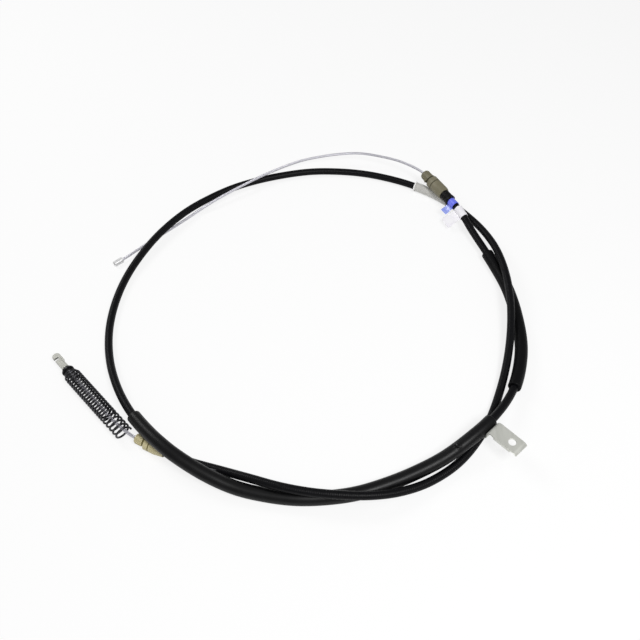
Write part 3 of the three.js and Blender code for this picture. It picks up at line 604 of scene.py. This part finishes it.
# %% Inner wire
WIRE_RADIUS = 1.5 * MM
WIRE_STEP = 1.6 * MM
WIRE_LAY = 28 * MM
STRANDS = 12
FRONT_JOIN_DEPTH, REAR_JOIN_DEPTH = 14 * MM, 16 * MM
FRONT_BLEND, REAR_BLEND = 120 * MM, 24 * MM

front_join = front_mouth_at + FRONT_JOIN_DEPTH
rear_join = rear_mouth_at - REAR_JOIN_DEPTH


def wire_length(name, start, end, step, strands):
    places = rounded_places(start, end, WIRE_RADIUS, 0.1 * MM, step)
    sides = 4 * strands if strands else 16
    bm = swept(places, sides, strands=strands, lay=WIRE_LAY if strands else 0.0)
    return finished(name, bm, wire_zinc, None, ["inner_cable"])


front_wire = wire_length("inner_cable_front", 0.0, front_join, WIRE_STEP, STRANDS)
middle_wire = wire_length("inner_cable_middle", front_join, rear_join, 5 * MM, 0)
rear_wire = wire_length("inner_cable_rear", rear_join, lengths[-1], WIRE_STEP, STRANDS)
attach(middle_wire, "conduit_and_wire")
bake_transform(front_wire, "conduit_and_wire", "front_end",
         start=NIPPLE_FACE - NIPPLE_AXIS * FRONT_BLEND, end=NIPPLE_FACE)
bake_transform(rear_wire, "conduit_and_wire", "rear_end",
         start=REAR_MOUTH - REAR_AXIS * REAR_JOIN_DEPTH, end=REAR_MOUTH + REAR_AXIS * REAR_BLEND)

# %% [markdown]
# Three sleeves sit on the conduit. The front sleeve is thick rubber, the guide tube is a long
# painted tube, and the locating sleeve is milky plastic with a rim at one end. All are hollow
# tubes on the same line, placed by their length from the conduit's front end.

# %% Sleeves
ON_JACKET = 4.3 * MM
SLEEVE_RADIUS = 6.5 * MM
SLEEVE_STEP = 3 * MM
FRONT_SLEEVE_ROUNDING, GUIDE_TUBE_ROUNDING = 1.1 * MM, 0.9 * MM
FRONT_SLEEVE = (105 * MM, 182 * MM)
GUIDE_TUBE = (337 * MM, 377 * MM)
LOCATING_SLEEVE = (1320 * MM, 48 * MM)
LOCATING_RADIUS, RIM_RADIUS, RIM_LENGTH = 5.4 * MM, 6.1 * MM, 1.6 * MM

sleeve_from = conduit_from + FRONT_SLEEVE[0]
sleeve_places = rounded_places(
    sleeve_from, sleeve_from + FRONT_SLEEVE[1], SLEEVE_RADIUS, FRONT_SLEEVE_ROUNDING, SLEEVE_STEP)
front_sleeve = finished("front_sleeve_tube", swept(sleeve_places, 36, ON_JACKET), sleeve_black,
                        "conduit_and_wire", ["front_sleeve"])

locating_from = conduit_from + LOCATING_SLEEVE[0]
rim_end = locating_from + RIM_LENGTH
locating_places = [
    (locating_from, RIM_RADIUS - 0.4 * MM), (locating_from + 0.4 * MM, RIM_RADIUS),
    (rim_end - 0.3 * MM, RIM_RADIUS), (rim_end, RIM_RADIUS - 0.3 * MM),
    *rounded_places(rim_end + 0.1 * MM, locating_from + LOCATING_SLEEVE[1],
                    LOCATING_RADIUS, 0.3 * MM, SLEEVE_STEP)[1:],
]
locating_mesh = swept(locating_places, 36, ON_JACKET)
along = locating_mesh.verts.layers.float["along"]
for face in locating_mesh.faces:
    face.material_index = int(max(vert[along] for vert in face.verts) < rim_end + 0.05 * MM)
locating_sleeve = finished("locating_sleeve_tube", locating_mesh, [milky_film, milky_rim],
                           "conduit_and_wire", ["locating_sleeve"])

# %% [markdown]
# The guide tube has one stake, a round dent with a raised rim that holds it on the conduit. The
# tube is cut finely around that place, and the points near it are pushed in and the rim pushed out
# by a smooth function of their distance.

# %% Guide tube with its stake
STAKE_AT = 43.5 * MM
STAKE_RADIUS = 2.6 * MM
STAKE_DEPTH = 1.1 * MM
STAKE_RIM = 0.35 * MM
STAKE_LEAN = math.radians(19)
STAKE_RIM_AT, STAKE_RIM_SHARPNESS, STAKE_REACH = 1.1, 4, 1.8
STAKE_FINE_STEP, STAKE_FINE_COUNT = 0.4 * MM, 12

tube_from = conduit_from + GUIDE_TUBE[0]
tube_to = tube_from + GUIDE_TUBE[1]
tube_places = rounded_places(tube_from, tube_to, SLEEVE_RADIUS, GUIDE_TUBE_ROUNDING, SLEEVE_STEP)
stake_place = tube_from + STAKE_AT
fine = [(stake_place + i * STAKE_FINE_STEP, SLEEVE_RADIUS)
        for i in range(-STAKE_FINE_COUNT, STAKE_FINE_COUNT + 1)]
tube_places = sorted(tube_places + fine)
tube_mesh = swept(tube_places, 72, ON_JACKET)

stake_centre = point_at(stake_place)
stake_run = (point_at(stake_place + MM) - point_at(stake_place - MM)).normalized()
to_camera = (CAMERA_PLACE - stake_centre).normalized()
facing = (to_camera - stake_run * to_camera.dot(stake_run)).normalized()
facing = Matrix.Rotation(STAKE_LEAN, 3, stake_run) @ facing
stake_top = stake_centre + facing * SLEEVE_RADIUS
for vert in tube_mesh.verts:
    distance = (vert.co - stake_top).length / STAKE_RADIUS
    outside = (vert.co - stake_centre).dot(facing) > ON_JACKET
    if outside and distance < STAKE_REACH:
        dent = STAKE_DEPTH * max(0.0, 1 - distance ** 2) ** 1.5
        rim = STAKE_RIM * math.exp(-((distance - STAKE_RIM_AT) * STAKE_RIM_SHARPNESS) ** 2)
        vert.co += facing * (rim - dent)
guide_tube = finished("guide_tube_shell", tube_mesh, tube_black,
                      "conduit_and_wire", ["guide_tube"])

# %% [markdown]
# The fittings, seals, collar and nipple are turned shapes. Each starts as a profile of radius and
# height, which one full spin about its axis closes. Their frames point the second axis along the
# piece and the first to a chosen side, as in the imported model.


# %% Turned pieces and their frames
def local_frame(origin, axis, side):
    y = axis.normalized()
    z = side.cross(y).normalized()
    placed = Matrix((y.cross(z), y, z)).transposed().to_4x4()
    placed.translation = origin
    return placed


def spun(profile, steps=48):
    """A turned shape about Y. The profile is pairs of radius and height in millimetres."""
    bm = bmesh.new()
    verts = [bm.verts.new((radius * MM, height * MM, 0)) for radius, height in profile]
    pairs = list(zip(verts, verts[1:]))
    if profile[0][0] > 0:
        pairs.append((verts[-1], verts[0]))
    edges = [bm.edges.new(pair) for pair in pairs]
    bmesh.ops.spin(bm, geom=verts + edges, cent=(0, 0, 0), axis=(0, 1, 0),
                   angle=math.tau, steps=steps, use_merge=True)
    bmesh.ops.remove_doubles(bm, verts=bm.verts, dist=0.001 * MM)
    bmesh.ops.recalc_face_normals(bm, faces=bm.faces)
    return bm


def block(bm, size, place):
    """Adds a box of a size in millimetres at its place, and gives its corners back."""
    made = bmesh.ops.create_cube(bm, size=1.0)["verts"]
    bmesh.ops.scale(bm, vec=Vector(size) * MM, verts=made)
    bmesh.ops.transform(bm, matrix=place, verts=made)
    return made


def at(x, y, z, turn=0.0):
    """A move in millimetres, then a turn about Y."""
    return Matrix.Rotation(turn, 4, "Y") @ Matrix.Translation(Vector((x, y, z)) * MM)


left = FRONT_AXIS.cross(UP)
front_frame = local_frame(FRONT_MOUTH, FRONT_AXIS, left)
rear_frame = local_frame(REAR_MOUTH, -REAR_AXIS, UP.cross(-REAR_AXIS))
nipple_frame = local_frame(NIPPLE_FACE, NIPPLE_AXIS, UP)
spring_frame = local_frame(SPRING_START, SPRING_AXIS, SPRING_AXIS.cross(UP))
print("Four frames carry the turned pieces")

# %% [markdown]
# A fitting's nose has snap barbs and thin ribs along it, which steady it in its hole. A barb is a
# block whose outer edge is slid back towards the mouth, so that it rises from the nose as a wedge
# does. The ribs are narrow blocks set round the nose.


# %% Barbs and ribs
BARB_WIDTH, BARB_LENGTH, BARB_HEIGHT, BARB_ROOT = 3.4, 8.0, 2.0, 0.9
RIB_HEIGHT, RIB_WIDTH = 1.0, 0.6


def add_barb(bm, radius, end, turn):
    middle = end - BARB_LENGTH / 2
    verts = block(bm, (BARB_HEIGHT + BARB_ROOT, BARB_LENGTH, BARB_WIDTH),
                  at(radius + (BARB_HEIGHT - BARB_ROOT) / 2, middle, 0, turn))
    outward = Matrix.Rotation(turn, 3, "Y") @ Vector((1, 0, 0))
    for vert in verts:
        if vert.co.y < middle * MM and vert.co.dot(outward) > radius * MM:
            vert.co -= outward * BARB_HEIGHT * MM


def add_ribs(bm, count, radius, start, end):
    for index in range(count):
        turn = math.tau * (index + 0.5) / count
        block(bm, (RIB_HEIGHT, end - start, RIB_WIDTH), at(radius, (start + end) / 2, 0, turn))


# Recessed faces get a darker copy of the nylon: painted shade where less light reaches.
def paint_recess_shade(bm, spans, radius):
    """Paints shade on faces below a radius whose height lies in one of the spans, with the second, darker
    finish.
    """
    for face in bm.faces:
        centre = face.calc_center_median()
        low = math.hypot(centre.x, centre.z) < radius * MM
        if low and any(start * MM <= centre.y <= end * MM for start, end in spans):
            face.material_index = 1


print("Barbs and ribs are added to the fittings below")

# %% [markdown]
# The front fitting is olive grey nylon: a ribbed nose with two barbs, a neck, a ring, a groove and
# a long body with a chamfered tail. Its socket and bore are open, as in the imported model.

# %% Front fitting
front_profile = [
    (3.9, 0), (5.1, 0), (5.4, 0.8), (5.4, 11), (4.5, 11), (4.5, 14), (7.2, 14), (7.5, 14.4),
    (7.5, 20.5), (6.9, 20.7), (6.9, 21.4), (7.5, 21.6), (7.5, 36), (7.1, 37.8), (6.6, 39),
    (5.55, 39), (5.55, 28.7), (2.2, 28.7), (2.2, 3.2), (3.9, 3.2),
]
front_body = spun(front_profile, 56)
add_barb(front_body, 5.4, 11, 0.0)
add_barb(front_body, 5.4, 11, math.pi)
add_ribs(front_body, 14, 5.4, 0.9, 10.6)
# The nose end, the neck behind the barbs and the ring groove get painted shade, a darker olive nylon.
paint_recess_shade(front_body, [(-0.1, 0.3), (10.95, 14.05), (20.6, 21.5)], 7.3)
front_fitting = finished("front_fitting_body", front_body, [olive_nylon, olive_painted_shade], "conduit_and_wire",
                         ["front_fitting"], front_frame, soften=0.22 * MM)
front_seal = finished(
    "front_seal_ring", spun([(1.6, 0.5), (2.2, 0.3), (3.6, 0.3), (3.6, 2.9), (2.1, 2.9), (1.6, 2.4)]),
    seal_black, "conduit_and_wire", ["front_seal"], front_frame)

# %% [markdown]
# Behind the fitting a rubber collar flares out to its tail. Two shallow grooves and a lip keep it
# from looking like a plain cone.

# %% Collar
collar_profile = [
    (4.35, 39.3), (5.6, 39.3), (6.0, 39.8), (6.0, 42.2), (5.6, 42.6), (5.6, 43.2), (6.0, 43.6),
    (6.0, 46.2), (5.7, 46.6), (5.7, 47.2), (6.2, 47.8), (6.5, 51.2), (6.3, 51.9), (4.35, 51.9),
]
front_collar = finished("front_collar_boot", spun(collar_profile, 40), collar_black,
                        "conduit_and_wire", ["front_collar"], front_frame,
                        soften=0.15 * MM)

# %% [markdown]
# The rear fitting is beige nylon, smaller, with one barb, two ring lines and a long tapered tail
# that lets the conduit in.

# %% Rear fitting
rear_profile = [
    (3.2, 0), (4.3, 0), (4.6, 0.6), (4.6, 8.6), (4.1, 8.6), (4.1, 11), (6.3, 11), (6.6, 11.3),
    (6.6, 16), (6.0, 16.2), (6.0, 16.8), (6.6, 17), (6.6, 22.6), (6.5, 23), (5.2, 32), (4.35, 32),
    (4.35, 25), (5.55, 25), (5.55, 18), (2.2, 18), (2.2, 3.2), (3.2, 3.2),
]
rear_body = spun(rear_profile, 48)
add_barb(rear_body, 4.6, 8.6, 0.0)
add_ribs(rear_body, 10, 4.6, 0.7, 8.3)
# The nose end, the neck and the ring line get painted shade, a darker beige nylon.
paint_recess_shade(rear_body, [(-0.1, 0.3), (8.55, 11.05), (16.1, 16.9)], 6.4)
rear_fitting = finished("rear_fitting_body", rear_body, [beige_nylon, beige_painted_shade], "conduit_and_wire",
                        ["rear_fitting"], rear_frame, soften=0.2 * MM)
rear_seal = finished(
    "rear_seal_ring", spun([(1.6, 0.5), (2.1, 0.3), (2.9, 0.3), (2.9, 2.9), (2.1, 2.9), (1.6, 2.4)]),
    seal_black, "conduit_and_wire", ["rear_seal"], rear_frame)

# %% [markdown]
# The tape and the label are bands wound round the conduit, each with a loose end that stands out
# and curls. The loose end is a grid bent by a smooth function, then given its thickness.


# %% Tape and label
def drooping(degrees):
    droop = math.radians(degrees)
    return left * math.cos(droop) - UP * math.sin(droop)


LEAF_START, LEAF_THICKNESS = 4.6, 0.25


def add_leaf(bm, length, width, curl, wave, finish_index=0):
    """A loose end that stands out from the band, bent up and down along its length."""
    before = set(bm.faces)
    grid = bmesh.ops.create_grid(bm, x_segments=14, y_segments=6, size=0.5)["verts"]
    for vert in grid:
        share, side = vert.co.x + 0.5, vert.co.y
        bend = curl * share ** 2 + wave * math.sin(math.pi * 2 * share) * (0.5 + side)
        x = LEAF_START + length * share
        vert.co = Vector((x, width * (side + 0.5), bend)) * MM
    leaf = [face for face in bm.faces if face not in before]
    for face in leaf:
        face.material_index = finish_index
    made = bmesh.ops.solidify(bm, geom=leaf, thickness=LEAF_THICKNESS * MM)["geom"]
    for face in made:
        if isinstance(face, bmesh.types.BMFace):
            face.material_index = finish_index


tape_frame = local_frame(FRONT_MOUTH + FRONT_AXIS * TAPE_START, FRONT_AXIS, drooping(35))
tape_mesh = spun([(4.3, 0), (4.85, 0), (4.85, 9), (4.3, 9)], 40)
add_leaf(tape_mesh, length=10.2, width=9, curl=1.6, wave=0.5, finish_index=1)
marker_tape = finished("marker_tape_band", tape_mesh, [tape_blue, tape_pale],
                       "conduit_and_wire", ["marker_tape"], tape_frame)

label_from = point_at(front_mouth_at + LABEL_START)
label_run = point_at(front_mouth_at + LABEL_START + LABEL_WIDTH) - label_from
label_frame = local_frame(label_from, label_run, drooping(25))
label_mesh = spun([(4.3, 0), (4.85, 0), (4.85, 14), (4.3, 14)], 40)
add_leaf(label_mesh, length=17.2, width=14, curl=-2.2, wave=0.9)
paper_label = finished("paper_label_band", label_mesh, label_white,
                       "conduit_and_wire", ["paper_label"], label_frame)

# %% [markdown]
# The bracket is one strip of folded sheet. Its section is an outline of arcs and straights: a
# saddle under the guide tube, a riser, a bend, a nearly level face and a rounded lip. The outline
# is filled and extruded to the strip's width. A side flange is joined on, and the bolt hole is cut.

# %% Bracket section
SHEET = 1.6
BRACKET_WIDTH = 16.0
SADDLE_INNER = 6.8
BEND_RADIUS = 3.4
FACE_TURN = math.radians(90 + 3)
LIP_TURN = FACE_TURN - math.radians(48)
FACE_LENGTH, LIP_LENGTH = 24.0, 1.2
BEND_CENTRE = Vector((SADDLE_INNER + SHEET + BEND_RADIUS, 3.6))
FACE_DOWN = Vector((math.sin(FACE_TURN), -math.cos(FACE_TURN)))
FACE_OUT = Vector((math.cos(FACE_TURN), math.sin(FACE_TURN)))


def arc(centre, radius, start, end, steps=8):
    angles = [start + (end - start) * i / steps for i in range(steps + 1)]
    return [centre + Vector((math.cos(a), math.sin(a))) * radius for a in angles]


def on_face(distance, height):
    return BEND_CENTRE + FACE_DOWN * distance + FACE_OUT * (BEND_RADIUS + height)


def bracket_outline():
    lip_centre = BEND_CENTRE + FACE_DOWN * FACE_LENGTH
    lip_down = Vector((math.sin(LIP_TURN), -math.cos(LIP_TURN))) * LIP_LENGTH
    saddle, top = math.radians(-125), BEND_RADIUS + SHEET
    lip_top = arc(lip_centre, top, FACE_TURN, LIP_TURN)
    lip_under = arc(lip_centre, BEND_RADIUS, LIP_TURN, FACE_TURN)
    return [
        *arc(Vector((0, 0)), SADDLE_INNER, saddle, 0, 20),
        *arc(BEND_CENTRE, top, math.pi, FACE_TURN),
        *lip_top, lip_top[-1] + lip_down, lip_under[0] + lip_down, *lip_under,
        *arc(BEND_CENTRE, BEND_RADIUS, FACE_TURN, math.pi),
        *arc(Vector((0, 0)), SADDLE_INNER + SHEET, 0, saddle, 20),
    ]


def slab(outline, low, high):
    """A closed plate whose outline lies in the X and Y plane, from one height to another."""
    bm = bmesh.new()
    verts = [bm.verts.new((p.x * MM, p.y * MM, low * MM)) for p in outline]
    bm.faces.new(verts)
    bmesh.ops.remove_doubles(bm, verts=verts, dist=0.001 * MM)
    made = bmesh.ops.extrude_face_region(bm, geom=list(bm.faces))["geom"]
    top = [item for item in made if isinstance(item, bmesh.types.BMVert)]
    bmesh.ops.translate(bm, vec=(0, 0, (high - low) * MM), verts=top)
    bmesh.ops.recalc_face_normals(bm, faces=bm.faces)
    return bm


print("The bracket's section has", len(bracket_outline()), "points")

# %% [markdown]
# A cut or a join is a Boolean modifier on a throwaway object, whose result is read back as a new
# mesh. The throwaway objects are removed, so only the finished piece stays in the scene.


# %% Cut and join
def throwaway(bm):
    mesh = bpy.data.meshes.new("throwaway")
    bm.to_mesh(mesh)
    bm.free()
    made = bpy.data.objects.new("throwaway", mesh)
    bpy.context.scene.collection.objects.link(made)
    return made


def combined(bm, tools):
    """The mesh after each tool, a pair of operation and mesh, has been used on it."""
    base = throwaway(bm)
    used = []
    for operation, tool in tools:
        modifier = base.modifiers.new(operation, "BOOLEAN")
        modifier.operation = operation
        modifier.object = throwaway(tool)
        modifier.solver = "EXACT"
        used.append(modifier.object)
    bpy.context.view_layer.update()
    evaluated = base.evaluated_get(bpy.context.evaluated_depsgraph_get())
    result = bmesh.new()
    result.from_mesh(evaluated.data)
    for item in [base, *used]:
        bpy.data.objects.remove(item)
    bmesh.ops.remove_doubles(result, verts=result.verts, dist=0.002 * MM)
    bmesh.ops.dissolve_limit(result, angle_limit=math.radians(1), verts=result.verts,
                             edges=result.edges)
    return result


def rod(radius, low, high, turn, centre):
    """A cutting rod in millimetres that leans from Y by a turn about Z."""
    bm = spun([(0, low), (radius, low), (radius, high), (0, high)], 40)
    lean = Matrix.Translation(Vector(centre) * MM) @ Matrix.Rotation(turn, 4, "Z")
    bmesh.ops.transform(bm, matrix=lean, verts=bm.verts)
    return bm


print("Cuts and joins are read back as plain meshes")

# %% Mounting bracket
HOLE_RADIUS, HOLE_AT = 3.5, 17.5
FLANGE_DEPTH, FLANGE_SETBACK = 4.6, 2.0
BRACKET_FROM_TUBE_END = 8.5 * MM

half = BRACKET_WIDTH / 2
flange_end = FACE_LENGTH - FLANGE_SETBACK
flange_outline = [
    on_face(FLANGE_SETBACK, SHEET / 2), on_face(FLANGE_SETBACK + 1, SHEET - FLANGE_DEPTH),
    on_face(flange_end - 1, SHEET - FLANGE_DEPTH), on_face(flange_end, SHEET / 2),
]
hole = on_face(HOLE_AT, SHEET / 2)
bracket_mesh = combined(slab(bracket_outline(), -half, half), [
    ("UNION", slab(flange_outline, half - SHEET, half)),
    ("DIFFERENCE", rod(HOLE_RADIUS, -4, 4, FACE_TURN - math.pi / 2, (hole.x, hole.y, 0))),
])
tube_front = point_at(tube_from)
tube_heading = (point_at(tube_from + 2 * BRACKET_FROM_TUBE_END) - tube_front).normalized()
outward = UP.cross(tube_heading).normalized()
bracket_frame = local_frame(
    tube_front + tube_heading * BRACKET_FROM_TUBE_END, tube_heading.cross(outward), outward)
bracket = finished("mounting_bracket_sheet", bracket_mesh, sheet_zinc, "conduit_and_wire",
                   ["mounting_bracket"], bracket_frame, soften=0.35 * MM)

# %% [markdown]
# The nipple is a small die-cast barrel. A turned profile gives its chamfers, the bore on the
# wire's side and the dimple that the casting leaves in its far end.

# %% Nipple
nipple_profile = [
    (0, 7.5), (1.95, 7.5), (1.95, 0), (2.5, 0), (3.2, 0.7), (3.2, 10.3), (2.5, 11), (1.5, 11),
    (0.9, 9.9), (0, 9.7),
]
front_nipple = finished("front_nipple_barrel", spun(nipple_profile, 40), cast_zinc, "front_end",
                        ["front_nipple"], nipple_frame, soften=0.15 * MM)

# %% [markdown]
# The return spring is a round wire on a helix: five wide turns at its open end, nineteen closer
# ones, and a last turn that narrows to bear on its seat. The wire is swept with its own list of
# points.

# %% Spring helix
SPRING_MEAN, SPRING_WIRE = 7.25 * MM, 1.0 * MM
WIDE_TURNS, WIDE_PITCH = 5, 5.2 * MM
CLOSE_TURNS, CLOSE_PITCH = 19, 3.6 * MM
END_TURNS, TAPER_TURNS, END_MEAN = 0.7, 0.9, 5.3 * MM
STEPS_PER_TURN = 28


def spring_point(turns):
    wide = min(turns, WIDE_TURNS)
    reach = wide * WIDE_PITCH + (turns - wide) * CLOSE_PITCH
    taper = (turns - (WIDE_TURNS + CLOSE_TURNS - END_TURNS - TAPER_TURNS)) / TAPER_TURNS
    radius = SPRING_MEAN + (END_MEAN - SPRING_MEAN) * min(max(taper, 0.0), 1.0)
    angle = math.tau * turns
    return Vector((radius * math.cos(angle), reach, radius * math.sin(angle)))


def wire_along(points, radius, sides):
    """A solid round wire through a list of points."""
    bm = bmesh.new()
    verts = bmesh.ops.create_circle(bm, segments=sides, radius=radius)["verts"]
    ring = first_ring = list(bm.edges)
    facing, last_pose, turn = UP, Matrix.Identity(4), Matrix.Identity(3).to_quaternion()
    for index, point in enumerate(points):
        neighbours = points[max(index - 1, 0)], points[min(index + 1, len(points) - 1)]
        tangent = (neighbours[1] - neighbours[0]).normalized()
        turn = facing.rotation_difference(tangent) @ turn
        facing = tangent
        pose = Matrix.Translation(point) @ turn.to_matrix().to_4x4()
        if index:
            verts, ring = extruded_ring(bm, ring, pose @ last_pose.inverted())
        else:
            bmesh.ops.transform(bm, matrix=pose, verts=verts)
        last_pose = pose
    bmesh.ops.contextual_create(bm, geom=first_ring)
    bmesh.ops.contextual_create(bm, geom=ring)
    bmesh.ops.recalc_face_normals(bm, faces=bm.faces)
    return bm


turn_count = WIDE_TURNS + CLOSE_TURNS
helix = [spring_point(i / STEPS_PER_TURN) for i in range(turn_count * STEPS_PER_TURN + 1)]
return_spring = finished("return_spring_coil", wire_along(helix, SPRING_WIRE, 12), spring_black,
                         "rear_end", ["return_spring"], spring_frame,
                         soften=0.2 * MM)
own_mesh(return_spring)

# %% [markdown]
# A ferrule is swaged on the wire's rear end inside the spring. Its flange holds the seat, a
# washer, and the hook's shank is swaged in its far end.

# %% Ferrule and spring seat
ferrule_profile = [
    (0, 90), (1.95, 90), (1.95, 82), (3.4, 82), (3.8, 82.5), (3.8, 84.5), (3.5, 85), (3.5, 88.5),
    (3.8, 89), (3.8, 97.6), (5, 97.6), (5, 99), (2.7, 99), (2.7, 92.7), (0, 92.7),
]
hook_ferrule = finished("hook_ferrule_sleeve", spun(ferrule_profile, 40), ferrule_grey, "rear_end",
                        ["hook_ferrule"], spring_frame, soften=0.15 * MM)
seat_profile = [(4.1, 95.7), (6.2, 95.7), (6.2, 97.3), (4.1, 97.3)]
spring_seat = finished("spring_seat_washer", spun(seat_profile, 48), seat_black, "rear_end",
                       ["spring_seat"], spring_frame, soften=0.25 * MM)

# %% [markdown]
# The hook is a flat blade with a rounded tip and an open slot in its edge. The slot is cut out,
# and a raised fold runs down the other edge from the blade to the stem.

# %% Hook
HOOK_START = 99.3
HOOK_THICKNESS = 2.4
STEM, STEM_LENGTH = 3.3, 9.0
BLADE, SHOULDER = 4.7, 2.8
TIP_RADIUS, HOOK_LENGTH = 4.0, 23.5
SLOT_DEPTH, SLOT_WIDTH, SLOT_FROM_TIP = 5.0, 2.8, 7.0
CUT_OVERRUN = 3
FOLD_HEIGHT, FOLD_WIDTH, FOLD_PAST_SHOULDER = 1.2, 0.9, 4

tip = Vector((BLADE - TIP_RADIUS, HOOK_START + HOOK_LENGTH - TIP_RADIUS))
hook_outline = [
    Vector((-STEM, HOOK_START)), Vector((STEM, HOOK_START)),
    Vector((STEM, HOOK_START + STEM_LENGTH)), Vector((BLADE, HOOK_START + STEM_LENGTH + SHOULDER)),
    *arc(tip, TIP_RADIUS, 0, math.pi, 20),
]
slot_y = HOOK_START + HOOK_LENGTH - SLOT_FROM_TIP
slot_mouth = -STEM - CUT_OVERRUN
slot_tool = slab([
    Vector((slot_mouth, slot_y - SLOT_WIDTH / 2)), Vector((slot_mouth, slot_y + SLOT_WIDTH / 2)),
    *arc(Vector((SLOT_DEPTH - STEM - SLOT_WIDTH / 2, slot_y)), SLOT_WIDTH / 2, math.pi / 2,
         -math.pi / 2, 10),
], -HOOK_THICKNESS, HOOK_THICKNESS)
shank = spun([(0, 93), (2.4, 93), (2.4, 101.9), (0, 101.9)], 32)
fold = bmesh.new()
fold_length = STEM_LENGTH + SHOULDER + FOLD_PAST_SHOULDER
half_hook = HOOK_THICKNESS / 2
block(fold, (FOLD_WIDTH, fold_length, FOLD_HEIGHT),
      at(STEM - FOLD_WIDTH / 3, HOOK_START + fold_length / 2, half_hook))
hook_mesh = combined(slab(hook_outline, -half_hook, half_hook), [
    ("UNION", shank), ("UNION", fold), ("DIFFERENCE", slot_tool)])
rear_hook = finished("rear_hook_blade", hook_mesh, hook_grey, "rear_end",
                     ["rear_hook"], spring_frame, soften=0.3 * MM)

# %% [markdown]
# The conduit runs from the front fitting to the rear one, and the bare front wire from the front
# fitting's mouth to the nipple. Points along each line are worked out four millimetres apart, and
# the lengths of both are printed.

PATH_STEP = 4 * MM


def path_between(start, end):
    count = round(abs(end - start) / PATH_STEP)
    return [tuple(point_at(start + (end - start) * i / count)) for i in range(count + 1)]


conduit_length = conduit_to - conduit_from
point_at(conduit_from)
path_between(conduit_from, conduit_to)
path_between(front_join, 0.0)
print("Conduit", round(conduit_length, 3), "m and front wire", round(front_join, 3), "m")

# %% [markdown]
# The stage is a pale floor under a white sky. Where the camera sees the floor, most of it counts as
# plain white, and the rest is lit normally, which keeps the soft shadow under the coils. The sky is
# dimmer in reflections, so the metal keeps dark edges, and two soft lamps give the black tubes
# their long highlights.

# %% Floor and light
FLOOR_HALF = 2.5
FLOOR_WHITE = 0.8


def seen_directly(tree):
    """1 where a ray comes from the camera or through clear plastic."""
    path = tree.nodes.new("ShaderNodeLightPath")
    highest = tree.nodes.new("ShaderNodeMath")
    highest.operation = "MAXIMUM"
    tree.links.new(path.outputs["Is Camera Ray"], highest.inputs[0])
    tree.links.new(path.outputs["Is Transmission Ray"], highest.inputs[1])
    return highest.outputs[0]


def floor_finish():
    finish = Finish("floor_white", Base_Color=(0.97, 0.97, 0.97, 1), Roughness=1.0, Specular_IOR_Level=0.0)
    tree = finish.tree
    share = Field(finish, seen_directly(tree)) * FLOOR_WHITE
    lit = Field(finish, finish.shader.outputs[0])
    plain = Field(finish, finish.node("ShaderNodeEmission").outputs[0])
    mixed = finish.node("ShaderNodeMixShader", inputs={0: share, 1: lit, 2: plain})
    tree.links.new(mixed.outputs[0], tree.nodes["Material Output"].inputs["Surface"])
    return finish.material


floor_mesh = bmesh.new()
bmesh.ops.create_grid(floor_mesh, x_segments=1, y_segments=1, size=FLOOR_HALF)
floor_data = bpy.data.meshes.new("floor")
floor_mesh.to_mesh(floor_data)
floor_mesh.free()
floor_data.materials.append(floor_finish())
floor = bpy.data.objects.new("floor", floor_data)
floor.location.z = -0.1 * MM
bpy.context.scene.collection.objects.link(floor)


# %% Lamps and sky
def soft_lamp(name, place, size, power):
    lamp = bpy.data.objects.new(name, bpy.data.lights.new(name, "AREA"))
    lamp.data.size = size
    lamp.data.energy = power
    lamp.location = place
    lamp.rotation_euler = (-Vector(place)).to_track_quat("-Z", "Y").to_euler()
    bpy.context.scene.collection.objects.link(lamp)


SKY_STRENGTH = 0.3
soft_lamp("key_lamp", (0.45, -0.7, 1.2), 0.45, 12)
soft_lamp("fill_lamp", (-0.9, 0.6, 1.0), 0.5, 6)
world = bpy.context.scene.world or bpy.data.worlds.new("sky")
bpy.context.scene.world = world
world.use_nodes = True
sky = world.node_tree.nodes["Background"]
sky.inputs["Color"].default_value = (1, 1, 1, 1)
level = world.node_tree.nodes.new("ShaderNodeMath")
level.operation = "MULTIPLY_ADD"
level.inputs[1].default_value = 1 - SKY_STRENGTH
level.inputs[2].default_value = SKY_STRENGTH
world.node_tree.links.new(seen_directly(world.node_tree), level.inputs[0])
world.node_tree.links.new(level.outputs[0], sky.inputs["Strength"])
bpy.context.scene.view_settings.view_transform = "Standard"
print("The floor is white, and two soft lamps light the coils")
